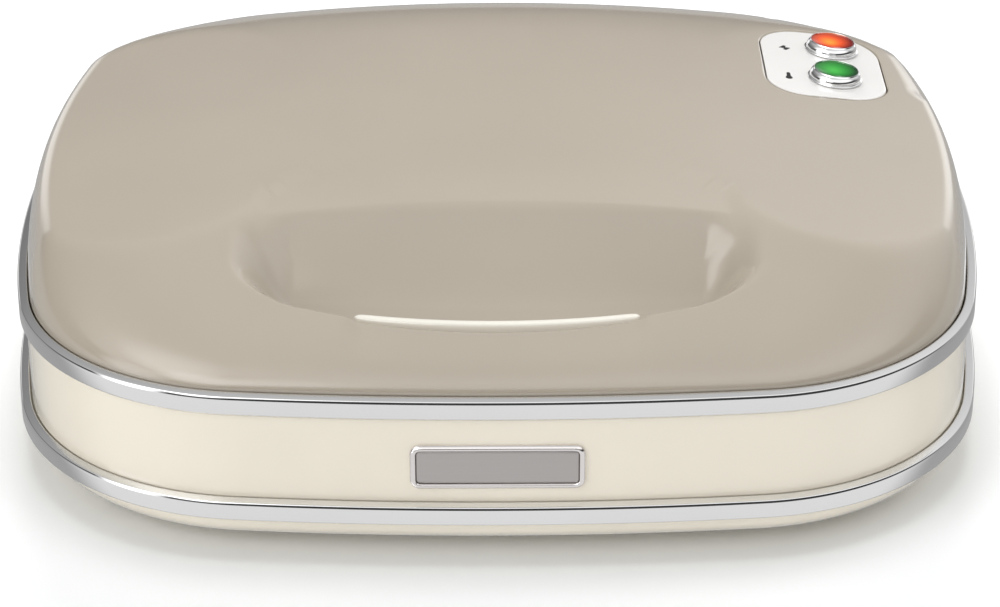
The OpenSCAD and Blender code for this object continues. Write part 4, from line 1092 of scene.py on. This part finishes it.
@dataclass
class Lid:
    """The beige domed moulding with its finger scoop."""

    dome: Dome
    panel: LampPanel
    cols: int = 400
    slot_front: float = 3.2 * MM
    slot_rear: float = 9.6 * MM
    slot_half: float = 36.6 * MM
    skirt: float = 0.38 * MM

    def slot_loop(self) -> np.ndarray:
        """Plan points round the lever's slot, one for each column, anticlockwise from its front."""
        quarter = self.cols // 4
        mid, r = (self.slot_front + self.slot_rear) / 2, (self.slot_rear - self.slot_front) / 2
        straight = int(quarter * 0.72)
        along = np.concatenate([
            (self.slot_half - r) * np.arange(straight) / straight,
            self.slot_half - r + r * np.sin(np.linspace(0, math.pi / 2, quarter - straight + 1)),
        ])
        behind = np.concatenate([
            np.full(straight, self.slot_front),
            mid - r * np.cos(np.linspace(0, math.pi / 2, quarter - straight + 1)),
        ])
        parts = []
        for sx, rear, back in ((1, False, False), (1, True, True), (-1, True, False), (-1, False, True)):
            p = self.dome.on_lip(sx * along, 2 * mid - behind if rear else behind)
            parts.append(p[::-1][:-1] if back else p[:-1])
        return np.concatenate(parts)

    @staticmethod
    def steps() -> np.ndarray:
        """Shares of the way from the slot to the rim: close together in the scoop and at the shoulder."""
        scoop = 0.26 * np.linspace(0, 1, 64) ** 1.15
        field_rows = np.linspace(0.26, 0.9, 34)[1:]
        rim = 1 - 0.1 * (1 - np.linspace(0, 1, 22)[1:]) ** 2.2
        return np.concatenate([scoop, field_rows, rim])

    def sheet(self, drop: float, steps: np.ndarray) -> np.ndarray:
        """Rows of the skin at a depth, from the slot to the rim.

        Args:
            drop: depth below the outer skin.
            steps: shares of the way.
        Returns:
            Rows shaped (len(steps) + 1, cols, 3); the last is the rim's skirt, sunk in the ring's seat.
        """
        points, normals = self.dome.outline.loop(self.cols)
        rim = points - (self.dome.inset + drop) * normals
        flat = self.slot_loop()[None] * (1 - steps[:, None, None]) + rim[None] * steps[:, None, None]
        rows = self.dome.top(flat[..., 0], flat[..., 1], drop)
        return np.concatenate([rows, rows[-1:] - [0, 0, self.skirt]])

    def window(self, rows: np.ndarray) -> tuple[int, int, int, int]:
        """Rows and columns of the grid that hold the panel with a margin."""
        loop = self.panel.loop(3 * MM, 60)
        low, high = loop.min(0), loop.max(0)
        hit = (rows[..., 0] > low[0]) & (rows[..., 0] < high[0]) & (rows[..., 1] > low[1]) & (rows[..., 1] < high[1])
        r, c = np.nonzero(hit)
        return r.min() - 1, min(r.max() + 1, len(rows) - 2), c.min() - 1, c.max() + 1

    def shell(self) -> None:
        """Outer and inner skin joined at rim and slot, with a hole of the panel's shape.

        Round the panel, a window is left out of both grids and refilled with rows that pass from
        the window's border to the hole's edge, so the hole is crisp without changing the surface.
        """
        steps = self.steps()
        outer, inner = self.sheet(0, steps), self.sheet(self.dome.wall, steps)
        count = len(outer)
        points = np.concatenate([outer.reshape(-1, 3), inner.reshape(-1, 3)])
        r0, r1, c0, c1 = self.window(outer)
        face_rows, face_cols = np.meshgrid(np.arange(count - 1), np.arange(self.cols), indexing="ij")
        keep = ~((face_rows >= r0) & (face_rows < r1) & (face_cols >= c0) & (face_cols < c1)).reshape(-1)
        up = grid_faces(count, self.cols, Ends.OPEN)[keep]
        down = grid_faces(count, self.cols, Ends.OPEN, count * self.cols)[keep][:, ::-1]
        k = np.arange(self.cols)
        n = (k + 1) % self.cols
        last, shift = (count - 1) * self.cols, count * self.cols
        rim = np.stack([last + k, last + shift + k, last + shift + n, last + n], -1)[:, ::-1]
        slot = np.stack([k, n, shift + n, shift + k], -1)[:, ::-1]
        border = self.border(r0, r1, c0, c1)
        faces = [np.asarray(up)[:, ::-1], np.asarray(down)[:, ::-1], rim[:, ::-1], slot[:, ::-1]]
        centre = np.array(self.panel.centre)
        around = len(border)
        patches = []
        for skin, drop in ((0, 0.0), (1, self.dome.wall)):
            ids = border + skin * shift
            start = points[ids]
            bearing = np.arctan2(start[:, 1] - centre[1], start[:, 0] - centre[0])
            dense = self.panel.loop(self.panel.gap, 1440)
            rel = dense - centre
            reach = np.interp(bearing, np.arctan2(rel[:, 1], rel[:, 0]), np.hypot(rel[:, 0], rel[:, 1]), period=2 * np.pi)
            edge = centre + reach[:, None] * np.stack([np.cos(bearing), np.sin(bearing)], -1)
            rows = []
            for s in (0.35, 0.65, 0.85, 0.96, 1.0):
                flat = start[:, :2] * (1 - s) + edge * s
                rows.append(self.dome.top(flat[:, 0], flat[:, 1], drop))
            offset = len(points)
            points = np.concatenate([points, *rows])
            ring = [ids] + [offset + i * around + np.arange(around) for i in range(5)]
            patches.append(ring)
            for a, b in zip(ring, ring[1:]):
                quad = np.stack([a, np.roll(a, -1), np.roll(b, -1), b], -1)
                faces.append(quad if skin == 0 else quad[:, ::-1])
        a, b = patches[0][-1], patches[1][-1]
        faces.append(np.stack([a, np.roll(a, -1), np.roll(b, -1), b], -1))
        shell = mesh_object("lid_moulding", points, np.concatenate(faces).tolist())
        level_normals(shell)
        dress(shell, BEIGE, Body.LID, "beige_plastic", "lid_shell")

    def border(self, r0: int, r1: int, c0: int, c1: int) -> np.ndarray:
        """Vertex numbers round a window of the grid, anticlockwise seen from above."""
        right = [r * self.cols + c0 for r in range(r0, r1)]
        far = [r1 * self.cols + c for c in range(c0, c1)]
        left = [r * self.cols + c1 for r in range(r1, r0, -1)]
        near = [r0 * self.cols + c for c in range(c1, c0, -1)]
        return np.array(right + far + left + near)

    def build(self) -> None:
        """Makes the shell."""
        self.shell()


def level_normals(made: bpy.types.Object) -> None:
    """Turns a closed mesh's faces outwards."""
    import bmesh
    work = bmesh.new()
    work.from_mesh(made.data)
    bmesh.ops.recalc_face_normals(work, faces=work.faces)
    work.to_mesh(made.data)
    work.free()


@dataclass
class Latch:
    """The ivory squeeze lever in the scoop, with its hub and hook."""

    dome: Dome
    behind: float = 5 * MM
    thick: float = 3 * MM
    half: float = 35 * MM
    hub_r: float = 2.3 * MM
    hook_half: float = 9 * MM

    def lever(self) -> None:
        """A curved finger plate whose section is a rounded slab, over its hub and hook.

        The section is a superellipse of fourth order in depth and height, carried along the lip's curve.
        """
        low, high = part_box("latch_lever")
        top, bottom = high.z, self.dome.low - 1 * MM
        t = np.linspace(0, 2 * np.pi, 48, endpoint=False)
        power = 0.42
        depth = np.sign(np.cos(t)) * np.abs(np.cos(t)) ** power * self.thick / 2
        rise = np.sign(np.sin(t)) * np.abs(np.sin(t)) ** power * (top - bottom) / 2
        along = np.linspace(-1, 1, 121)
        ease = np.sqrt(np.clip(1 - np.abs(along) ** 40, 0, 1))
        rows = []
        for u, e in zip(along, ease):
            e = max(e, 0.02)
            flat = self.dome.on_lip(np.full(len(t), u * self.half), self.behind + self.thick / 2 + depth * e)
            rows.append(np.column_stack([flat, (top + bottom) / 2 + rise * (0.9 + 0.1 * e)]))
        plate = loft("lever_plate", np.stack(rows))
        level_normals(plate)
        dress(plate, IVORY, Body.LATCH, "cream_plastic", "latch_lever")

    def hub(self) -> None:
        """The round hub along the lever's pin, turned with soft ends."""
        low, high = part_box("lever_pins")
        y, z = (low.y + high.y) / 2, (low.z + high.z) / 2
        r, end, soft = self.hub_r, self.half, 0.4 * MM
        bore = (high.z - low.z) / 2 + 0.1 * MM
        section = np.concatenate([
            [[bore, -end], [r - soft, -end]], arc((r - soft, -end + soft), soft, -60, 0, 4),
            arc((r - soft, end - soft), soft, 0, 60, 4), [[r - soft, end], [bore, end]],
        ])
        hub = lathe("lever_hub", section, 64)
        hub.data.transform(Matrix.Translation((0, y, z)) @ Matrix.Rotation(math.pi / 2, 4, "Y"))
        dress(hub, IVORY, Body.LATCH, "cream_plastic")

    def hook(self) -> None:
        """The hook below the hub: a flat arm whose foot turns forwards into a wedge-shaped nose."""
        low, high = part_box("lever_pins")
        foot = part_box("latch_lever")[0]
        y, z = (low.y + high.y) / 2, (low.z + high.z) / 2
        back, front = y + self.thick / 2, y - self.thick / 2
        nose = foot.y if foot.y < front - 1 * MM else front - 2 * MM
        nose = max(nose, front - 2 * MM)
        profile = np.array([
            [back, z], [front, z], [front, foot.z + 2.8 * MM], [nose + 0.2 * MM, foot.z + 2.8 * MM],
            [nose, foot.z + 2.5 * MM], [front - 0.3 * MM, foot.z + 0.1 * MM], [front + 0.3 * MM, foot.z],
            [back - 0.3 * MM, foot.z], [back, foot.z + 0.3 * MM],
        ])
        x = np.array([-1, -0.96, 0.96, 1]) * self.hook_half
        middle = profile.mean(0)
        inset = np.array([0.94, 1, 1, 0.94])
        flat = middle + (profile - middle)[None] * inset[:, None, None]
        rows = np.concatenate([np.broadcast_to(x[:, None, None], flat.shape[:2] + (1,)), flat], -1)
        hook = loft("lever_hook", rows)
        hook.data.polygons.foreach_set("use_smooth", np.zeros(len(hook.data.polygons), bool))
        level_normals(hook)
        dress(hook, IVORY, Body.LATCH, "cream_plastic")

    def build(self) -> None:
        """Makes the lever's three parts."""
        self.lever()
        self.hub()
        self.hook()


@dataclass
class Badge:
    """The blank badge on the front: a rolled bright border round a brushed field."""

    depth: float = 0.55 * MM

    def build(self) -> None:
        """Concentric rounded rectangles whose height follows the border's section."""
        low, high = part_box("badge")
        w, h = high.x - low.x, high.z - low.z
        mid = ((low.x + high.x) / 2, (low.z + high.z) / 2)
        front = low.y
        back = high.y
        # Inset from the badge's edge and depth behind its front, in millimetres
        border = [(0, 2.0), (0, 0.75), (0.08, 0.55), (0.3, 0.3), (0.55, 0.1), (0.75, 0.02), (0.95, 0.0), (1.15, 0.03), (1.32, 0.14), (1.42, 0.34), (1.46, 0.8)]
        floor = [(1.62, 0.56), (1.72, 0.5), (2.6, 0.5), (4.0, 0.5)]
        count = 320

        def rows(section: Sequence[tuple[float, float]]) -> np.ndarray:
            """Loops of the badge at each inset and depth, anticlockwise seen from the front."""
            out = []
            for inset, deep in section:
                loop = rounded_box_loop(w - 2 * inset * MM, h - 2 * inset * MM, max(2.5 * MM - inset * MM, 0.6 * MM), count)
                y = np.full(count, min(front + deep * MM, back))
                out.append(np.column_stack([mid[0] + loop[:, 0], y, mid[1] + loop[:, 1]]))
            return np.stack(out)

        edge = loft("badge_border", rows(border + [(1.46, 2.0)]), Ends.RING)
        level_normals(edge)
        dress(edge, BADGE_EDGE, Body.BASE, "badge_metal", "badge")
        plate = loft("badge_field", rows([(1.3, 2.0), (1.6, 0.8)] + floor))
        level_normals(plate)
        dress(plate, BADGE_FIELD, Body.BASE, "badge_metal")


@dataclass
class Carried:
    """CAD nodes that keep their own meshes and take a finish."""

    finishes: dict[str, Finish] = field(default_factory=lambda: {
        "feet": FEET, "base_screws": ZINC, "base_frame": FRAME, "lid_frame": FRAME,
        "lower_plate": COATING, "upper_plate": COATING, "lower_plate_screws": ZINC, "upper_plate_screws": ZINC,
        "lower_element": SHEATH, "upper_element": SHEATH, "lower_reflector": SHEET, "upper_reflector": SHEET,
        "lower_thermostat": CASE, "upper_thermostat": CASE, "thermal_fuse": BRASS, "terminal_block": TERMINAL,
        "base_wiring": WIRE, "lid_wiring": WIRE, "cord_gland": GLAND, "latch_catch": SPRING, "catch_screw": ZINC,
        "left_hinge_bracket": ZINC, "right_hinge_bracket": ZINC, "bracket_screws": ZINC, "hinge_pins": ZINC,
        "lid_screws": ZINC, "neon_lamps": NEON, "lamp_holder": HOLDER, "left_hinge_arm": ZINC,
        "right_hinge_arm": ZINC, "arm_screws": ZINC, "lever_pins": SPRING, "lever_spring": SPRING,
        "base_shell": CREAM, "base_pan": CREAM, "base_trim_ring": TRIM, "lid_trim_ring": TRIM, "lid_shell": BEIGE,
        "latch_lever": CREAM, "badge": BADGE_EDGE, "lamp_panel": WHITE, "power_bezel": BEZEL, "ready_bezel": BEZEL,
        "power_lens": NEON, "ready_lens": NEON,
    })

    def build(self) -> None:
        """Assigns each node's finish."""
        for name, node in frame["nodes"].items():
            node.data.materials.clear()
            node.data.materials.append(self.finishes[name].material())


# Studio


@dataclass(frozen=True)
class Glow:
    """A soft patch of the sky: where it is, its reach and its strength."""

    toward: tuple
    full: float
    fade: float
    gain: float


@dataclass
class Studio:
    """Floor, soft lights, sky and the photograph's camera."""

    place: tuple = (0.6 * MM, -778.9 * MM, 409.0 * MM)
    pitch: float = 27.0
    yaw: float = 0.01
    roll: float = -0.196
    focal_px: float = 3210.0
    image_w: int = 1000
    sensor: float = 36.0
    dome_light: float = 0.55
    front_cards: tuple = ((-1.0, 0.85), (-0.04, 0.9), (0.02, 0.04), (0.32, 0.06), (0.42, 1.2), (0.72, 1.4), (1.0, 0.7))
    rear_cards: tuple = ((-1.0, 0.45), (-0.04, 0.4), (0.02, 0.1), (0.3, 0.2), (0.54, 0.35), (0.8, 0.6), (1.0, 0.7))
    softboxes: tuple = (
        ("overhead_softbox", (0, 0, 1.43), 7),
        ("rear_softbox", (0, 1.24, 0.69), 12),
        ("right_softbox", (1.12, 0.5, 0.69), 3),
        ("front_left_softbox", (-0.87, -0.87, 0.69), 4),
    )
    glows: tuple = (
        Glow((-0.44, 0.88, 0.12), 6, 15, 1.0),
        Glow((0.44, 0.88, 0.12), 6, 15, 1.0),
        Glow((0.62, 0.62, 0.45), 12, 40, 0.5),
        Glow((-0.86, -0.49, 0.16), 4, 20, 2.2),
        Glow((-0.52, -0.38, 0.77), 4, 22, 1.5),
        Glow((-0.44, -0.76, 0.48), 4, 22, 2.0),
    )

    def camera(self) -> None:
        """A long lens looking down on the front."""
        data = bpy.data.cameras.new("product_camera")
        data.sensor_width = self.sensor
        data.lens = self.focal_px / self.image_w * self.sensor
        data.clip_start, data.clip_end = 0.01, 20
        seen = bpy.data.objects.new("product_camera", data)
        bpy.context.scene.collection.objects.link(seen)
        turn = Euler((math.radians(90 - self.pitch), 0, math.radians(-self.yaw)), "XYZ").to_matrix()
        tilt = Euler((0, 0, math.radians(self.roll)), "XYZ").to_matrix()
        seen.matrix_world = (turn @ tilt).to_4x4()
        seen.location = self.place
        bpy.context.scene.camera = seen
        bpy.context.scene.view_settings.view_transform = "Standard"

    def floor(self) -> None:
        """A pale floor with a soft matt finish, left out of reflections as a white cut-out is."""
        size = 6.0
        flat = np.array([[-size, -size, 0], [size, -size, 0], [size, size, 0], [-size, size, 0]])
        floor = mesh_object("studio_floor", flat, [[0, 1, 2, 3]], False)
        b = Bench("studio_floor_paint")
        b.set(Base_Color=(0.97, 0.985, 0.99, 1), Roughness=0.9, Specular_IOR_Level=0.0)
        floor.data.materials.append(b.material)
        floor.visible_glossy = False

    def light(self, name: str, place: tuple, aim: tuple, size: tuple, power: float, tone: tuple = (1, 1, 1)) -> None:
        """A rectangular soft light that lights surfaces and stays out of their reflections.

        Args:
            name: the light's name.
            place: its middle.
            aim: the point that it faces.
            size: width and height in metres.
            power: watts.
            tone: its colour.
        """
        data = bpy.data.lights.new(name, "AREA")
        data.shape, data.size, data.size_y = "RECTANGLE", size[0], size[1]
        data.energy, data.color = power, tone
        lamp = bpy.data.objects.new(name, data)
        bpy.context.scene.collection.objects.link(lamp)
        lamp.location = place
        lamp.rotation_euler = (Vector(aim) - Vector(place)).to_track_quat("-Z", "Y").to_euler()
        lamp.visible_glossy = False

    def sky(self) -> None:
        """An even white dome for soft light, and grey cards in their place for reflections.

        What gloss and chrome mirror is a grey by direction: a front and a rear ramp over height that
        cross over depth, a dark band low in front, and glows. Each glow adds its gain inside a cone
        and fades out between its two angles.
        """
        world = bpy.data.worlds.new("studio_sky")
        bpy.context.scene.world = world
        world.use_nodes = True
        tree = world.node_tree
        tree.nodes.clear()
        where = tree.nodes.new("ShaderNodeTexCoord").outputs["Generated"]
        split = tree.nodes.new("ShaderNodeSeparateXYZ")
        tree.links.new(where, split.inputs[0])

        def scaled(value: bpy.types.NodeSocket, start: float, end: float, high: float = 1.0) -> bpy.types.NodeSocket:
            """A value eased from start..end to 0..high."""
            node = tree.nodes.new("ShaderNodeMapRange")
            node.interpolation_type = "SMOOTHSTEP"
            for key, number in (("From Min", start), ("From Max", end), ("To Max", high)):
                node.inputs[key].default_value = number
            tree.links.new(value, node.inputs["Value"])
            return node.outputs[0]

        def ramp(stops: tuple) -> bpy.types.NodeSocket:
            """A grey ramp over the direction's height, from -1 to 1."""
            height = tree.nodes.new("ShaderNodeMath")
            height.operation = "MULTIPLY_ADD"
            tree.links.new(split.outputs["Z"], height.inputs[0])
            height.inputs[1].default_value = height.inputs[2].default_value = 0.5
            node = tree.nodes.new("ShaderNodeValToRGB")
            points = node.color_ramp.elements
            while len(points) < len(stops):
                points.new(0.5)
            for point, (at, grey) in zip(points, stops):
                point.position, point.color = (at + 1) / 2, (grey, grey, grey, 1)
            tree.links.new(height.outputs[0], node.inputs[0])
            return node.outputs[0]

        def blend(kind: str, factor: bpy.types.NodeSocket | None, a: bpy.types.NodeSocket, b: bpy.types.NodeSocket) -> bpy.types.NodeSocket:
            """Two greys mixed by a factor or added."""
            node = tree.nodes.new("ShaderNodeMix")
            node.data_type, node.blend_type = "RGBA", kind
            node.inputs[0].default_value = 1.0
            if factor is not None:
                tree.links.new(factor, node.inputs[0])
            tree.links.new(a, node.inputs[6])
            tree.links.new(b, node.inputs[7])
            return node.outputs[2]

        cards = blend("MIX", scaled(split.outputs["Y"], -0.25, 0.25), ramp(self.front_cards), ramp(self.rear_cards))
        for glow in self.glows:
            near = tree.nodes.new("ShaderNodeVectorMath")
            near.operation = "DOT_PRODUCT"
            tree.links.new(where, near.inputs[0])
            near.inputs[1].default_value = Vector(glow.toward).normalized()
            fade, full = math.cos(math.radians(glow.fade)), math.cos(math.radians(glow.full))
            cards = blend("ADD", None, cards, scaled(near.outputs["Value"], fade, full, glow.gain))
        white = tree.nodes.new("ShaderNodeRGB").outputs[0]
        white.default_value = (self.dome_light,) * 3 + (1,)
        mirrored = tree.nodes.new("ShaderNodeLightPath").outputs["Is Glossy Ray"]
        back = tree.nodes.new("ShaderNodeBackground")
        out = tree.nodes.new("ShaderNodeOutputWorld")
        tree.links.new(blend("MIX", mirrored, white, cards), back.inputs["Color"])
        tree.links.new(back.outputs[0], out.inputs["Surface"])

    def build(self) -> None:
        """Sets up the whole studio."""
        self.camera()
        self.floor()
        self.sky()
        for name, place, power in self.softboxes:
            self.light(name, place, (0, 0, 0.03), (0.8, 0.8), power)


def main() -> None:
    """Builds every sub-assembly in order and reports each."""
    logging.basicConfig(level=logging.INFO, format="%(name)s: %(message)s")
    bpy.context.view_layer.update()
    ring_low, ring_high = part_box("lid_trim_ring")
    outline = Outline(
        (ring_high.x - ring_low.x) / 2, (ring_high.y - ring_low.y) / 2, (ring_high.y + ring_low.y) / 2,
    )
    dome = Dome(outline, ring_high.z)
    panel = LampPanel(dome)
    for part in (Studio(), Carried(), Casing(outline), Lid(dome, panel), panel, Latch(dome), Badge()):
        part.build()
        log.info("%s built, %d objects so far", type(part).__name__, len(bpy.data.objects))


if __name__ == "__main__":
    main()
